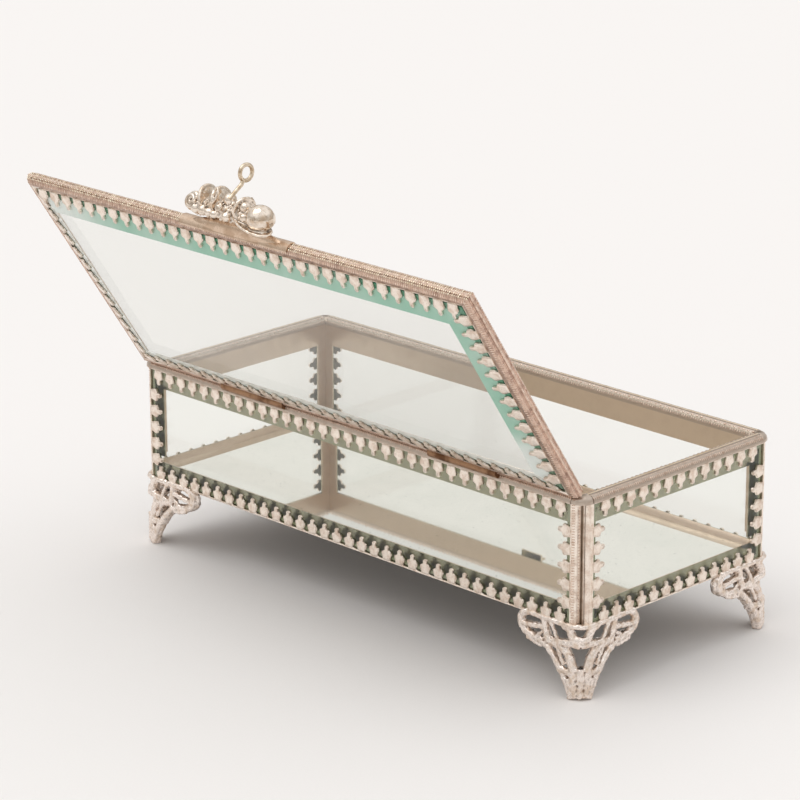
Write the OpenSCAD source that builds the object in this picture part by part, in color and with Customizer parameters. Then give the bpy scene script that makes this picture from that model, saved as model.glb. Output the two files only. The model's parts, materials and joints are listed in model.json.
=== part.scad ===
// Footed casket box of glass panes held in stamped gallery strips, with a hinged bevelled glass lid.
// Units are millimetres. X runs along the box, +Y is the hinge side and Z = 0 is the ground.
// The lid is drawn open on its stop. The origin is under the middle of the whole piece.

/* [Casket] */
// Outer length of the box
casket_l = 200; // [170:1:240]
// Outer width of the box
casket_w = 88.7; // [80:0.1:110]
// Height of the walls, from the underside to the top of the rails
body_h = 41.5; // [38:0.5:60]
// Height of the underside above the ground
foot_h = 23.6; // [21:0.1:30]

/* [Gallery strip] */
// Thickness of a wall, measured across its strip
strip_w = 5; // [4.6:0.1:6]
// Thickness of the stamped sheet
sheet_t = 0.6; // [0.4:0.05:0.8]
// Rise of the rounded edge above the roots of the prongs
crown_h = 2.7; // [2.2:0.1:3.2]
// Rise of the rounded edge of the uprights
side_crown_h = 2; // [1.5:0.1:2.2]
// Thickness of the flat edge of the base strips
base_web_t = 0.5; // [0.4:0.05:0.7]
// Radius of the two grooves beside the middle ridge
groove_r = 0.3; // [0.2:0.05:0.4]
// Distance from one prong to the next
prong_pitch = 5.69; // [5.3:0.01:7]
// Length of a prong
prong_len = 5; // [4:0.1:5.6]
// Length of a prong on the base strips
base_prong_len = 4.6; // [3.8:0.1:5]
// Width of a prong at its neck
neck_w = 3.3; // [2.6:0.1:3.5]
// Width of a prong at its shoulders
shoulder_w = 4.2; // [3.6:0.1:4.4]
// Width of a prong's tip
tip_w = 1.6; // [1.2:0.1:2]
// Height of the plain flange inside the top rails
top_flange_h = 7; // [5:0.5:9]
// Height of the plain flange inside the base rails
base_flange_h = 7.8; // [6.6:0.2:9]
// Width of the plain flange inside the uprights
side_flange_w = 3.6; // [2.5:0.1:4.5]
// How far the prongs of the uprights sit below mid height
side_drop = 1; // [0.5:0.1:1.3]
// Gap between pieces that are soldered together
seam = 0.02; // [0.01:0.01:0.05]

/* [Corner caps] */
// Thickness of the cap over each corner notch
cap_t = 1.9; // [1.4:0.1:2.2]
// Drop of the cap below the top of the rails
cap_drop = 0.6; // [0.4:0.1:0.8]
// Height of the raised diamond on the cap
diamond_h = 0.4; // [0.2:0.1:0.4]

/* [Glass and mirror] */
// Clearance on each face of a pane
pane_fit = 0.1; // [0.05:0.05:0.3]
// Gap at the edges of a pane
pane_edge_gap = 0.1; // [0.1:0.05:0.3]
// Thickness of the mirror
mirror_t = 3; // [2:0.5:4]
// Gap around the mirror
mirror_gap = 0.15; // [0.1:0.05:0.5]
// Height of the mirror's underside above the underside of the box
mirror_rise = 2.3; // [1.6:0.1:2.6]
// Thickness of the ledge under the mirror
ledge_t = 0.6; // [0.4:0.1:0.8]
// Reach of the ledge under the mirror
ledge_w = 3; // [2:0.5:6]

/* [Lid] */
// Distance from each end of the lid to the end of the box
lid_end_gap = 2; // [1.5:0.5:6]
// Distance of the lid's free edge behind the front of the box
lid_front_gap = 2.95; // [2.5:0.05:4]
// Overhang of the lid's hinge edge past the back wall
lid_overhang = 0.25; // [0:0.05:0.5]
// Gap under the closed lid
lid_rest_gap = 0.1; // [0.05:0.05:0.3]
// Thickness of the lid, measured across its strip
lid_strip_w = 4.8; // [4.6:0.1:5.4]
// Width of the plain flange under the lid's edge
lid_flange_w = 4; // [3:0.5:6]
// Gap at the edges of the lid glass
lid_edge_gap = 1.1; // [1:0.1:1.5]
// Rise of the lid glass inside its bevel
bevel_rise = 1.6; // [0.8:0.1:2.4]
// Width of the bevel
bevel_w = 8; // [6:0.5:12]
// Distance from the prong roots to the start of the bevel
bevel_start = 5.6; // [5.2:0.1:7]
// How far the lid opens
open_angle = 123.6; // [90:0.1:124]

/* [Hinges] */
// Distance between the two hinges
hinge_span = 94.6; // [60:0.2:110]
// Offset of the pair of hinges along the box
hinge_shift = -3.8; // [-6:0.2:6]
// Length of a hinge
hinge_len = 29; // [24:0.5:34]
// Diameter of the hinge barrel
barrel_d = 3; // [2.6:0.1:3]
// Height of the barrel above the rail
barrel_lift = 0.4; // [0.3:0.1:0.6]
// Distance of the hinge axis from the lid's hinge edge
axis_inset = 1.5; // [1.4:0.05:1.6]
// Diameter of the hinge pin
pin_d = 1.2; // [0.8:0.1:1.4]
// Radial clearance of the pin
pin_fit = 0.03; // [0.02:0.01:0.05]
// Length of the lid's knuckle at each end of a hinge
knuckle_l = 4.2; // [3:0.1:6]
// Gap between knuckles
knuckle_gap = 0.15; // [0.1:0.05:0.3]
// Radius of the half-round leaf on the back rail
leaf_r = 1.65; // [1.4:0.05:1.7]
// Distance of the leaf's middle inside the back of the box
leaf_in = 0.15; // [0.1:0.05:0.3]
// Drop of the leaf's middle below the hinge axis
leaf_drop = 2.1; // [2:0.05:2.3]
// Clearance of the lid around a hinge
hinge_clear = 0.2; // [0.15:0.05:0.3]

/* [Handle] */
// Length of the plain plate under the ornament
plate_l = 48; // [44:1:60]
// Thickness of the plain plate
plate_t = 0.5; // [0.4:0.05:0.8]
// Length of the ornament
finial_l = 40; // [36:1:44]
// Radius of the ornament at its largest lobe
finial_r = 5.6; // [5:0.1:6]
// Radius of the ornament between its lobes
waist_r = 3; // [2.6:0.1:3.4]
// Distance of the ornament's axis from the free edge of the lid
finial_out = 5.25; // [5:0.05:5.8]
// Depth of the ornament's axis below the lid's top face
finial_drop = 5.65; // [5:0.05:6]
// Diameter of the catch wire
wire_d = 1.3; // [1:0.1:1.6]
// Radius of the finger eye in the catch wire
eye_r = 2.45; // [2:0.05:2.8]

/* [Keeper] */
// Width of the keeper plate
keeper_w = 8.8; // [6:0.2:10]
// Height of the keeper plate
keeper_h = 7; // [5:0.2:8]
// Thickness of the keeper plate
keeper_t = 0.7; // [0.5:0.1:1]
// Reach of the keeper's lip from the wall
keeper_reach = 3.8; // [3:0.1:3.9]
// Depth of the lip below the top of the rail
keeper_drop = 8; // [7.8:0.1:9]

/* [Feet] */
// Thickness of the cast feet
foot_t = 2.6; // [2.2:0.1:3.2]
// How far the feet stand out from the walls
foot_out = 1; // [0.8:0.1:1.4]
// Height of the foot's rim over the edge of the base
rim_over = 1.3; // [0.8:0.1:1.6]
// Thickness of the foot's rim below the base
rim_t = 0.4; // [0.3:0.1:0.6]
// Length of a foot's wing along the wall
wing_l = 25.5; // [22:0.5:30]
// Width of a foot's toe, seen from the corner
toe_w = 7.8; // [6:0.2:10]

/* [Hidden] */
$fn = 48;
overlap = 0.3;                                  // how far joined shapes of one piece run into each other
root_l = 0.55;                                  // plain strip behind the prongs' necks
side_margin = 3.2;                              // from the end of a strip to its last prong, at least
top_z = foot_h + body_h;                        // top of the walls
root_top_z = top_z - crown_h;                   // prong roots of the top rails
root_base_z = foot_h + base_web_t;              // prong roots of the base rails
clear_l = casket_l - 2 * strip_w;               // inside length
clear_w = casket_w - 2 * strip_w;               // inside width
lid_back_y = casket_w / 2 + lid_overhang;       // hinge edge of the closed lid
lid_front_y = lid_front_gap - casket_w / 2;     // free edge of the closed lid
lid_l = casket_l - 2 * lid_end_gap;
lid_w = lid_back_y - lid_front_y;
lid_mid_y = lid_back_y - lid_w / 2;
lid_base_z = top_z + lid_rest_gap;
lid_top_z = lid_base_z + lid_strip_w;
axis_y = lid_back_y - axis_inset;
axis_z = top_z + barrel_d / 2 + barrel_lift;
leaf_y = casket_w / 2 - leaf_in;
leaf_z = axis_z - leaf_drop;
hinge_xs = [hinge_shift - hinge_span / 2, hinge_shift + hinge_span / 2];
mid_knuckle_l = hinge_len - 2 * (knuckle_l + knuckle_gap);
half_angle = sqrt(0.5);
// Places along the catch wire, as distance out from the lid's prong roots and depth below its top face
wire_root = [-crown_h - finial_out - 4.4, finial_drop + 0.6];
wire_bend = [-crown_h - finial_out - 4.55, finial_drop + finial_r + 1.25];
eye_mid = wire_bend + [-1.7, 3.5];
eye_start = eye_mid + eye_r * (wire_bend - eye_mid) / norm(wire_bend - eye_mid);
// Reach of the open lid's ornament past the back, and of the keeper past the front
finial_dy = lid_front_y - finial_out - axis_y;
finial_dz = lid_top_z - finial_drop - axis_z;
back_reach = axis_y + finial_dy * cos(open_angle) + finial_dz * sin(open_angle) + finial_r;
front_reach = casket_w / 2 + keeper_reach;
shift_y = (front_reach - back_reach) / 2;

brass = "BurlyWood";
glass = [0.8, 0.92, 0.88, 0.4];

function count_for(half, margin) = 2 * floor((half - margin) / prong_pitch) + 1;

// One side of a prong: half width and share of its length, from neck to tip
prong_half = [
    [neck_w / 2, 0],
    [neck_w / 2, 0.1],
    [shoulder_w / 2, 0.38],
    [shoulder_w / 2, 0.54],
    [tip_w / 2 + 0.2, 0.64],
    [tip_w / 2, 0.7],
    [tip_w / 2, 0.9],
    [tip_w / 4, 1],
];

function prong_points(middle, length) = concat(
    [for (p = prong_half) [middle - p[0], p[1] * length]],
    [for (i = [len(prong_half) - 1 : -1 : 0]) [middle + prong_half[i][0], prong_half[i][1] * length]]
);

// Strips are drawn along X, with the prongs towards +Y and the depth from the outer face along +Z
module along_x(length) {
    rotate([90, 0, 90]) linear_extrude(length, center = true) children();
}

// Flat sheet with prongs; the root is the plain strip behind their necks
module prong_sheet(length, count, prong, root = root_l) {
    first = -(count - 1) / 2 * prong_pitch;
    teeth = [for (i = [0 : count - 1]) each prong_points(first + i * prong_pitch, prong)];
    linear_extrude(sheet_t) polygon(concat(
        [[-length / 2, -root], [-length / 2, 0]],
        teeth,
        [[length / 2, 0], [length / 2, -root]]
    ));
}

function crown_radius(width, rise) = (width * width / 4 + rise * rise) / (2 * rise);

// Rounded edge of a strip, with a ridge between two grooves; x is outward, y is the depth
module crown_profile(width, rise) {
    radius = crown_radius(width, rise);
    groove_angle = 20;
    difference() {
        intersection() {
            translate([radius - rise, width / 2]) circle(radius);
            translate([-rise, 0]) square([rise, width]);
        }
        for (s = [-1, 1])
            translate([radius - rise, width / 2])
                rotate(180 + s * groove_angle) translate([radius, 0]) circle(groove_r, $fn = 16);
    }
}

module crowned_strip(length, count, width, flange) {
    prong_sheet(length, count, prong_len);
    along_x(length) {
        crown_profile(width, crown_h);
        translate([-overlap, width - sheet_t]) square([flange + overlap, sheet_t]);
    }
}

// Walls are drawn as the front wall, with the outer face towards -Y, then turned to their side
module on_wall(side) {
    turn = side == "front" ? 0 : side == "back" ? 180 : side == "left" ? -90 : 90;
    out = (side == "front" || side == "back") ? casket_w / 2 : casket_l / 2;
    translate([0, shift_y, 0]) rotate([0, 0, turn]) translate([0, -out, 0]) children();
}

function wall_clear(side) = (side == "front" || side == "back") ? clear_l : clear_w;

module top_rail(side) {
    length = wall_clear(side) - 2 * seam;
    count = count_for(wall_clear(side) / 2, side_margin);
    color(brass) on_wall(side) translate([0, 0, root_top_z])
        rotate([-90, 0, 0]) crowned_strip(length, count, strip_w, top_flange_h);
}

module base_rail(side) {
    long = side == "front" || side == "back";
    length = wall_clear(side) - 2 * seam;
    count = count_for(wall_clear(side) / 2, side_margin);
    ledge_l = long ? length : length - 2 * (ledge_w + seam);
    ledge_top = mirror_rise - seam;
    color(brass) on_wall(side) translate([0, 0, root_base_z]) rotate([90, 0, 180]) {
        prong_sheet(length, count, base_prong_len, base_web_t);
        along_x(length) {
            translate([-base_web_t, 0]) square([base_web_t, strip_w]);
            translate([-base_web_t, strip_w - sheet_t]) square([base_flange_h, sheet_t]);
        }
        along_x(ledge_l)
            translate([ledge_top - ledge_t - base_web_t, strip_w - overlap])
                square([ledge_t, ledge_w + overlap]);
    }
}

// Upright at the end of a wall; hand -1 is its left end seen from outside, 1 its right end
module upright(side, hand) {
    bottom = foot_h;
    height = top_z - cap_drop - cap_t - seam - bottom;
    mid_root_z = (root_base_z + root_top_z) / 2 - side_drop;
    free_h = root_top_z - root_base_z;
    count = count_for(free_h / 2, prong_len + 1);
    flange_low = foot_h + base_flange_h + seam;
    flange_high = root_top_z - top_flange_h - seam;
    sheet_h = count * prong_pitch;
    color(brass) on_wall(side) mirror([hand > 0 ? 1 : 0, 0, 0])
        translate([-wall_clear(side) / 2 - seam, 0, 0]) {
            translate([0, 0, mid_root_z]) rotate([0, -90, -90]) prong_sheet(sheet_h, count, prong_len);
            translate([0, 0, bottom + height / 2]) rotate([0, -90, -90]) along_x(height)
                intersection() {
                    crown_profile(strip_w, side_crown_h);
                    polygon([[0, 0], [seam - strip_w, 0], [0, strip_w - seam]]);
                }
            translate([0, 0, flange_low]) linear_extrude(flange_high - flange_low)
                polygon([
                    [seam, strip_w],
                    [seam - sheet_t, strip_w - sheet_t],
                    [side_flange_w, strip_w - sheet_t],
                    [side_flange_w, strip_w],
                ]);
        }
}

module corner_cap(sx, sy) {
    side = strip_w - 2 * seam;
    diamond = side * 0.7;
    x = sx * (casket_l - strip_w) / 2;
    y = shift_y + sy * (casket_w - strip_w) / 2;
    color("Gold") translate([x, y, top_z - cap_drop - cap_t]) {
        translate([-side / 2, -side / 2, 0]) cube([side, side, cap_t]);
        rotate([0, 0, 45]) translate([-diamond / 2, -diamond / 2, 0])
            cube([diamond, diamond, cap_t + diamond_h]);
    }
}

module wall_pane(side) {
    length = wall_clear(side) - 2 * pane_edge_gap;
    low = root_base_z + pane_edge_gap;
    high = root_top_z - pane_edge_gap;
    thick = strip_w - 2 * (sheet_t + pane_fit);
    color(glass) on_wall(side) translate([-length / 2, sheet_t + pane_fit, low])
        cube([length, thick, high - low]);
}

module base_mirror() {
    length = clear_l - 2 * mirror_gap;
    width = clear_w - 2 * mirror_gap;
    color([0.75, 0.78, 0.78]) translate([-length / 2, shift_y - width / 2, foot_h + mirror_rise])
        cube([length, width, mirror_t]);
}

// Foot: two openwork wings that meet under a corner. It is drawn with the corner at 0, 0 and the
// wings along +X and +Y. Each face is drawn with x along the wall and y as the height.
module foot_face() {
    lobe_r = 4.1;
    lobe_z = foot_h - 3.1;
    rim_top = foot_h + rim_over;
    toe = toe_w / 2 / half_angle;
    difference() {
        union() {
            polygon([
                [-foot_out, rim_top],
                [wing_l - 5.5, rim_top],
                [wing_l - 4.9, foot_h - 7.6],
                [wing_l - 6.5, foot_h - 9.2],
                [wing_l - 10.5, foot_h - 10.2],
                [toe + 7.4, 11.7],
                [toe + 5.5, 9.1],
                [toe + 3, 5.1],
                [toe + 0.8, 2.1],
                [toe, 0],
                [-foot_out, 0],
            ]);
            translate([wing_l - lobe_r, lobe_z]) circle(lobe_r);
            translate([wing_l - lobe_r - 3, lobe_z]) circle(lobe_r);
            translate([wing_l - 7.6, foot_h - 8.4]) circle(1.7);
            translate([toe + 8.1, 13]) circle(1.6);
            translate([0, foot_h - rim_t]) square([wing_l, rim_over + rim_t]);
        }
        foot_face_holes(toe);
    }
}

module foot_face_holes(toe) {
    rim_low = foot_h - rim_t;
    translate([wing_l - 7.2, rim_low - 1.2]) round_slot(3.2, 1.1);
    translate([wing_l - 6.5, foot_h - 5.4]) round_slot(1.8, 1.2);
    polygon([
        [6.5, rim_low - 0.7],
        [8, rim_low - 0.6],
        [11.5, rim_low - 1.2],
        [9.4, rim_low - 3.5],
        [7.6, rim_low - 3.8],
    ]);
    polygon([[toe + 5.4, 15.7], [toe + 6.8, 14.5], [toe + 2.1, 10], [toe + 0.7, 11.2]]);
}

module round_slot(length, r) {
    translate([-length / 2, -r]) square([length, 2 * r]);
    for (s = [-1, 1]) translate([s * length / 2, 0]) circle(r);
}

// Openings at the foot's corner, seen from the corner
module foot_corner_holes() {
    translate([-1.4, foot_h - rim_t - 1.9]) square([2.8, 1.4]);
    polygon([[-2.3, 17.6], [2.3, 17.6], [0.9, 13.2], [-0.9, 13.2]]);
}

// Plan of the foot's outside, with its corner rounded
module foot_plan() {
    r = 2;
    reach = wing_l + foot_out;
    translate([-foot_out, -foot_out]) {
        translate([r, 0]) square(reach);
        translate([0, r]) square(reach);
        translate([r, r]) circle(r);
    }
}

module foot_wing() {
    translate([0, foot_t - foot_out, 0]) rotate([90, 0, 0]) linear_extrude(foot_t) foot_face();
}

module foot(sx, sy) {
    color("Tan") translate([sx * casket_l / 2, shift_y + sy * casket_w / 2, 0])
        mirror([sx > 0 ? 1 : 0, 0, 0]) mirror([0, sy > 0 ? 1 : 0, 0]) difference() {
            intersection() {
                union() {
                    foot_wing();
                    mirror([1, -1, 0]) foot_wing();
                }
                linear_extrude(foot_h + rim_over) foot_plan();
            }
            translate([-seam, -seam, foot_h - seam]) cube([2 * wing_l, 2 * wing_l, rim_over + 1]);
            rotate([90, 0, -45]) linear_extrude(4 * foot_t, center = true) foot_corner_holes();
        }
}

// Hinge parts are drawn on the axis, with the closed lid's directions
module at_hinge(x) {
    translate([x, shift_y + axis_y, axis_z]) children();
}

// Section of the back rail, grown by an amount, that the leaf is soldered onto
module back_rail_section(grow) {
    radius = crown_radius(strip_w, crown_h);
    middle = (casket_w - strip_w) / 2 - axis_y;
    translate([middle, root_top_z - radius + crown_h - axis_z]) circle(radius + grow);
    translate([middle - strip_w / 2, root_top_z - 2 * crown_h - axis_z])
        square([strip_w + grow, 2 * crown_h]);
}

module hinge_leaf(x) {
    color("Sienna") at_hinge(x) difference() {
        union() {
            along_x(mid_knuckle_l) circle(d = barrel_d);
            along_x(hinge_len) translate([leaf_y - axis_y, leaf_z - axis_z]) circle(leaf_r);
        }
        along_x(hinge_len + 2) back_rail_section(seam);
        along_x(hinge_len + 2) circle(d = pin_d + 2 * pin_fit);
        for (s = [-1, 1])
            translate([s * (hinge_len - knuckle_l) / 2, 0, 0])
                along_x(knuckle_l + 2 * knuckle_gap) circle(d = barrel_d + 2 * knuckle_gap);
    }
}

module hinge_pin(x) {
    color("Peru") at_hinge(x) along_x(hinge_len) circle(d = pin_d);
}

// Everything on the lid is drawn closed and then opened about the hinge axis
module on_lid() {
    translate([0, shift_y + axis_y, axis_z]) rotate([-open_angle, 0, 0]) translate([0, -axis_y, -axis_z])
        children();
}

module lid_rail(side) {
    long = side == "front" || side == "back";
    turn = side == "front" ? 0 : side == "back" ? 180 : side == "left" ? -90 : 90;
    length = long ? lid_l : lid_w;
    out = (long ? lid_w : lid_l) / 2 - crown_h;
    count = count_for(length / 2 - crown_h, side_margin + 0.4);
    deep = crown_h + prong_len + 2;
    color(brass) on_lid() difference() {
        translate([0, lid_mid_y, lid_top_z]) rotate([0, 0, turn]) translate([0, -out, 0]) rotate([0, 180, 0])
            intersection() {
                crowned_strip(length, count, lid_strip_w, lid_flange_w);
                translate([0, -crown_h, -1]) linear_extrude(lid_strip_w + 2) polygon([
                    [seam - length / 2, 0],
                    [length / 2 - seam, 0],
                    [length / 2 - deep - seam, deep],
                    [deep + seam - length / 2, deep],
                ]);
            }
        if (side == "back") lid_hinge_notches();
    }
}

// Room in the lid's back rail for the hinges, under its outer sheet
module lid_hinge_notches() {
    length = hinge_len + 2 * hinge_clear;
    skin_edge = crown_h - root_l;
    barrel_edge = axis_inset + barrel_d / 2 + hinge_clear;
    for (x = hinge_xs) {
        translate([x - length / 2, lid_back_y - skin_edge, lid_base_z - 1])
            cube([length, 2 * skin_edge, lid_strip_w + 2]);
        translate([x - length / 2, lid_back_y - barrel_edge, lid_base_z - 1])
            cube([length, 2 * barrel_edge, lid_strip_w - sheet_t + 1]);
    }
}

module lid_knuckles(x) {
    web_t = 0.9;                                // behind the prong roots
    web_low = 0.4;                              // below the axis
    web_in = crown_h - axis_inset + web_t;
    web_out = crown_h - root_l + 0.05 - axis_inset;
    web_top = lid_top_z - sheet_t - seam - axis_z;
    color("Sienna") on_lid() translate([x, axis_y, axis_z])
        for (s = [-1, 1])
            translate([s * (hinge_len - knuckle_l) / 2, 0, 0]) along_x(knuckle_l) difference() {
                union() {
                    circle(d = barrel_d);
                    translate([-web_in, -web_low]) square([web_in - web_out, web_top + web_low]);
                }
                circle(d = pin_d + 2 * pin_fit);
            }
}

// Lid glass: a plate whose top face rises inside a bevel on all four sides
module lid_glass_profile(half) {
    low = lid_base_z + sheet_t + pane_fit;
    edge = lid_top_z - sheet_t - pane_fit;
    polygon([
        [-half, low],
        [half, low],
        [half, edge],
        [half - bevel_start + lid_edge_gap, edge],
        [half - bevel_start + lid_edge_gap - bevel_w, edge + bevel_rise],
        [bevel_start - lid_edge_gap + bevel_w - half, edge + bevel_rise],
        [bevel_start - lid_edge_gap - half, edge],
        [-half, edge],
    ]);
}

module lid_glass() {
    half_l = lid_l / 2 - crown_h - lid_edge_gap;
    half_w = lid_w / 2 - crown_h - lid_edge_gap;
    color(glass) on_lid() translate([0, lid_mid_y, 0]) intersection() {
        rotate([90, 0, 0]) linear_extrude(2 * half_w, center = true) lid_glass_profile(half_l);
        rotate([90, 0, 90]) linear_extrude(2 * half_l, center = true) lid_glass_profile(half_w);
    }
}

// On the lid's front rail, +X runs to the left, -Y is outward and +Z is down into the box
module on_front_edge() {
    on_lid() translate([0, lid_front_y + crown_h, lid_top_z]) rotate([0, 180, 0]) children();
}

// Round of the lid's free edge, grown by an amount
module free_edge_round(grow) {
    radius = crown_radius(lid_strip_w, crown_h);
    translate([radius - crown_h, lid_strip_w / 2]) circle(radius + grow);
}

module handle_plate() {
    half_w = lid_strip_w / 2 - 0.3;             // stays inside the faces of the lid
    color("Wheat") on_front_edge() along_x(plate_l) difference() {
        intersection() {
            free_edge_round(plate_t);
            translate([-crown_h - plate_t, lid_strip_w / 2 - half_w]) square([crown_h, 2 * half_w]);
        }
        free_edge_round(seam);
    }
}

// Outline of the ornament turned about its own axis; x is the radius, y runs towards the dome
module finial_outline() {
    half = finial_l / 2;
    lobe = 1.3;                                 // radius of a lobe's rim
    lobes = [[-0.465, 2], [-0.32, 0.3], [-0.16, 0], [0, 0.8], [0.115, 0.6]];  // place and lack of radius
    dome_l = finial_l * 0.27;
    dome_r = finial_r - 0.9;
    bead = 0.7;                                 // radius of the bead around the dome
    end_gap = 0.6;
    intersection() {
        union() {
            translate([0, end_gap - half]) square([waist_r, finial_l - dome_l - end_gap]);
            for (l = lobes) translate([0, l[0] * finial_l]) {
                middle = finial_r - l[1] - lobe;
                translate([0, -lobe]) square([middle, 2 * lobe]);
                translate([middle, 0]) circle(lobe);
            }
            translate([0, half - dome_l]) {
                square([finial_r - bead, 2 * bead]);
                translate([finial_r - bead, bead]) circle(bead);
            }
            translate([0, half - dome_r]) circle(dome_r);
        }
        translate([0, -half]) square([finial_r, finial_l]);
    }
}

module rod(from, to, d) {
    way = to - from;
    translate([0, from[0], from[1]]) rotate([atan2(-way[0], way[1]), 0, 0]) cylinder(h = norm(way), d = d);
}

// Section of the bar that joins the ornament to the plate
module saddle_section() {
    half_w = 1.6;
    polygon([
        [0, lid_strip_w / 2 - half_w],
        [-crown_h - finial_out, finial_drop - half_w],
        [-crown_h - finial_out, finial_drop + half_w],
        [0, lid_strip_w / 2 + half_w],
    ]);
}

module finial() {
    wall_out = lid_front_gap + keeper_t + 0.3;  // clear of the keeper when closed
    shoulder = lid_strip_w - seam;
    color("Khaki") on_front_edge() difference() {
        union() {
            translate([0, -crown_h - finial_out, finial_drop]) rotate([0, 90, 0])
                rotate_extrude() finial_outline();
            along_x(finial_l * 0.8) saddle_section();
        }
        along_x(2 * finial_l) free_edge_round(plate_t + seam);
        translate([-finial_l, -crown_h - wall_out, shoulder])
            cube([2 * finial_l, 2 * wall_out, 2 * finial_r]);
        rod(wire_root, wire_bend, wire_d + 2 * seam);
    }
}

// The catch wire runs down from the ornament, bends near the wall and ends in a finger eye
module catch_wire() {
    color("Wheat") on_front_edge() {
        rod(wire_root + seam * (wire_bend - wire_root), wire_bend, wire_d);
        translate([0, wire_bend[0], wire_bend[1]]) sphere(d = 1.08 * wire_d);
        rod(wire_bend, eye_start, wire_d);
        translate([0, eye_mid[0], eye_mid[1]]) rotate([0, 90, 0])
            rotate_extrude() translate([eye_r, 0]) circle(d = wire_d);
    }
}

module keeper() {
    lip_w = keeper_w * 0.7;
    lip_z = top_z - keeper_drop;
    high = root_top_z - 0.7;                    // just below the roots of the prongs
    color("Wheat") on_wall("front") {
        translate([-keeper_w / 2, -keeper_t - seam, high - keeper_h]) cube([keeper_w, keeper_t, keeper_h]);
        translate([-lip_w / 2, -keeper_reach + keeper_t / 2, lip_z - keeper_t / 2])
            cube([lip_w, keeper_reach - keeper_t, keeper_t]);
        translate([0, -keeper_reach + keeper_t / 2, lip_z]) rotate([0, 90, 0])
            cylinder(h = lip_w, d = keeper_t, center = true);
    }
}

base_mirror();
wall_pane("front");  // pane_front
wall_pane("back");  // pane_back
wall_pane("left");  // pane_left
wall_pane("right");  // pane_right
top_rail("front");  // top_rail_front
top_rail("back");  // top_rail_back
top_rail("left");  // top_rail_left
top_rail("right");  // top_rail_right
base_rail("front");  // base_rail_front
base_rail("back");  // base_rail_back
base_rail("left");  // base_rail_left
base_rail("right");  // base_rail_right
upright("front", -1);  // upright_front_left
upright("front", 1);  // upright_front_right
upright("back", 1);  // upright_back_left
upright("back", -1);  // upright_back_right
upright("left", 1);  // upright_left_front
upright("left", -1);  // upright_left_back
upright("right", -1);  // upright_right_front
upright("right", 1);  // upright_right_back
corner_cap(-1, -1);  // cap_front_left
corner_cap(1, -1);  // cap_front_right
corner_cap(-1, 1);  // cap_back_left
corner_cap(1, 1);  // cap_back_right
foot(-1, -1);  // foot_front_left
foot(1, -1);  // foot_front_right
foot(-1, 1);  // foot_back_left
foot(1, 1);  // foot_back_right
hinge_leaf(hinge_xs[0]);  // hinge_leaf_left
hinge_leaf(hinge_xs[1]);  // hinge_leaf_right
hinge_pin(hinge_xs[0]);  // hinge_pin_left
hinge_pin(hinge_xs[1]);  // hinge_pin_right
keeper();
lid_glass();
lid_rail("front");  // lid_rail_front
lid_rail("back");  // lid_rail_back
lid_rail("left");  // lid_rail_left
lid_rail("right");  // lid_rail_right
lid_knuckles(hinge_xs[0]);  // lid_knuckles_left
lid_knuckles(hinge_xs[1]);  // lid_knuckles_right
handle_plate();
finial();
catch_wire();
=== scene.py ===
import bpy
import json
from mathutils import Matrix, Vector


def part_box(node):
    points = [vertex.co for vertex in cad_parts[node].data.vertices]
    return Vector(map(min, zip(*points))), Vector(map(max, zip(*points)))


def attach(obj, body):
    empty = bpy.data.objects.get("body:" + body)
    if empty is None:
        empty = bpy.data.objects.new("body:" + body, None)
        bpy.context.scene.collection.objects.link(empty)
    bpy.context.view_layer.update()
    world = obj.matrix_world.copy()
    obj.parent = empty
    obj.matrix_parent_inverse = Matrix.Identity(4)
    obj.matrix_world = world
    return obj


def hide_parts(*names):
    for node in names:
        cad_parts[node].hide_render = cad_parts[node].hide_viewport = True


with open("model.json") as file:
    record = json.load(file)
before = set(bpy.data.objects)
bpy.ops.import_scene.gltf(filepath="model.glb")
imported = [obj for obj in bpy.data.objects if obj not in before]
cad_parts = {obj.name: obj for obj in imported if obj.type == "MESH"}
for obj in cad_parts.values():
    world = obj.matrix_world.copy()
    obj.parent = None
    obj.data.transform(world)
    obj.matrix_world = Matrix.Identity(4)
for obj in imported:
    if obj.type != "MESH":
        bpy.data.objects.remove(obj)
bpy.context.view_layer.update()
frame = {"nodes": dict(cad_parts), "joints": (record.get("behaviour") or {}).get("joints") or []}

"""A footed casket box: glass panes in stamped gilt strips, a mirror base and a bevelled glass lid.

Sizes are written in millimetres and turned to metres when a mesh is made. Each sub-assembly is a
class that builds its own pieces and dresses them, and main() builds the classes in order.
"""

import json
import logging
import math
from dataclasses import dataclass, field, replace
from enum import Enum
from typing import Iterable, Sequence

import bmesh
import bpy
from mathutils import Matrix, Vector, noise

LOG = logging.getLogger("casket")
MM = 0.001
BOX, LID = "box", "lid"

# Sizes shared by the sub-assemblies, in millimetres
FOOT_H, BODY_H = 23.6, 41.5
CASKET_L, CASKET_W = 200.0, 88.7
STRIP_W, CROWN_H, SIDE_CROWN_H = 5.0, 2.7, 2.0
PITCH, PRONG_LEN, BASE_PRONG_LEN = 5.69, 5.0, 4.6
LID_L, LID_W, LID_STRIP_W = 196.0, 86.0, 4.8
LID_REST_GAP, LID_OVERHANG, UPRIGHT_DROP = 0.1, 0.25, 2.6

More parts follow.
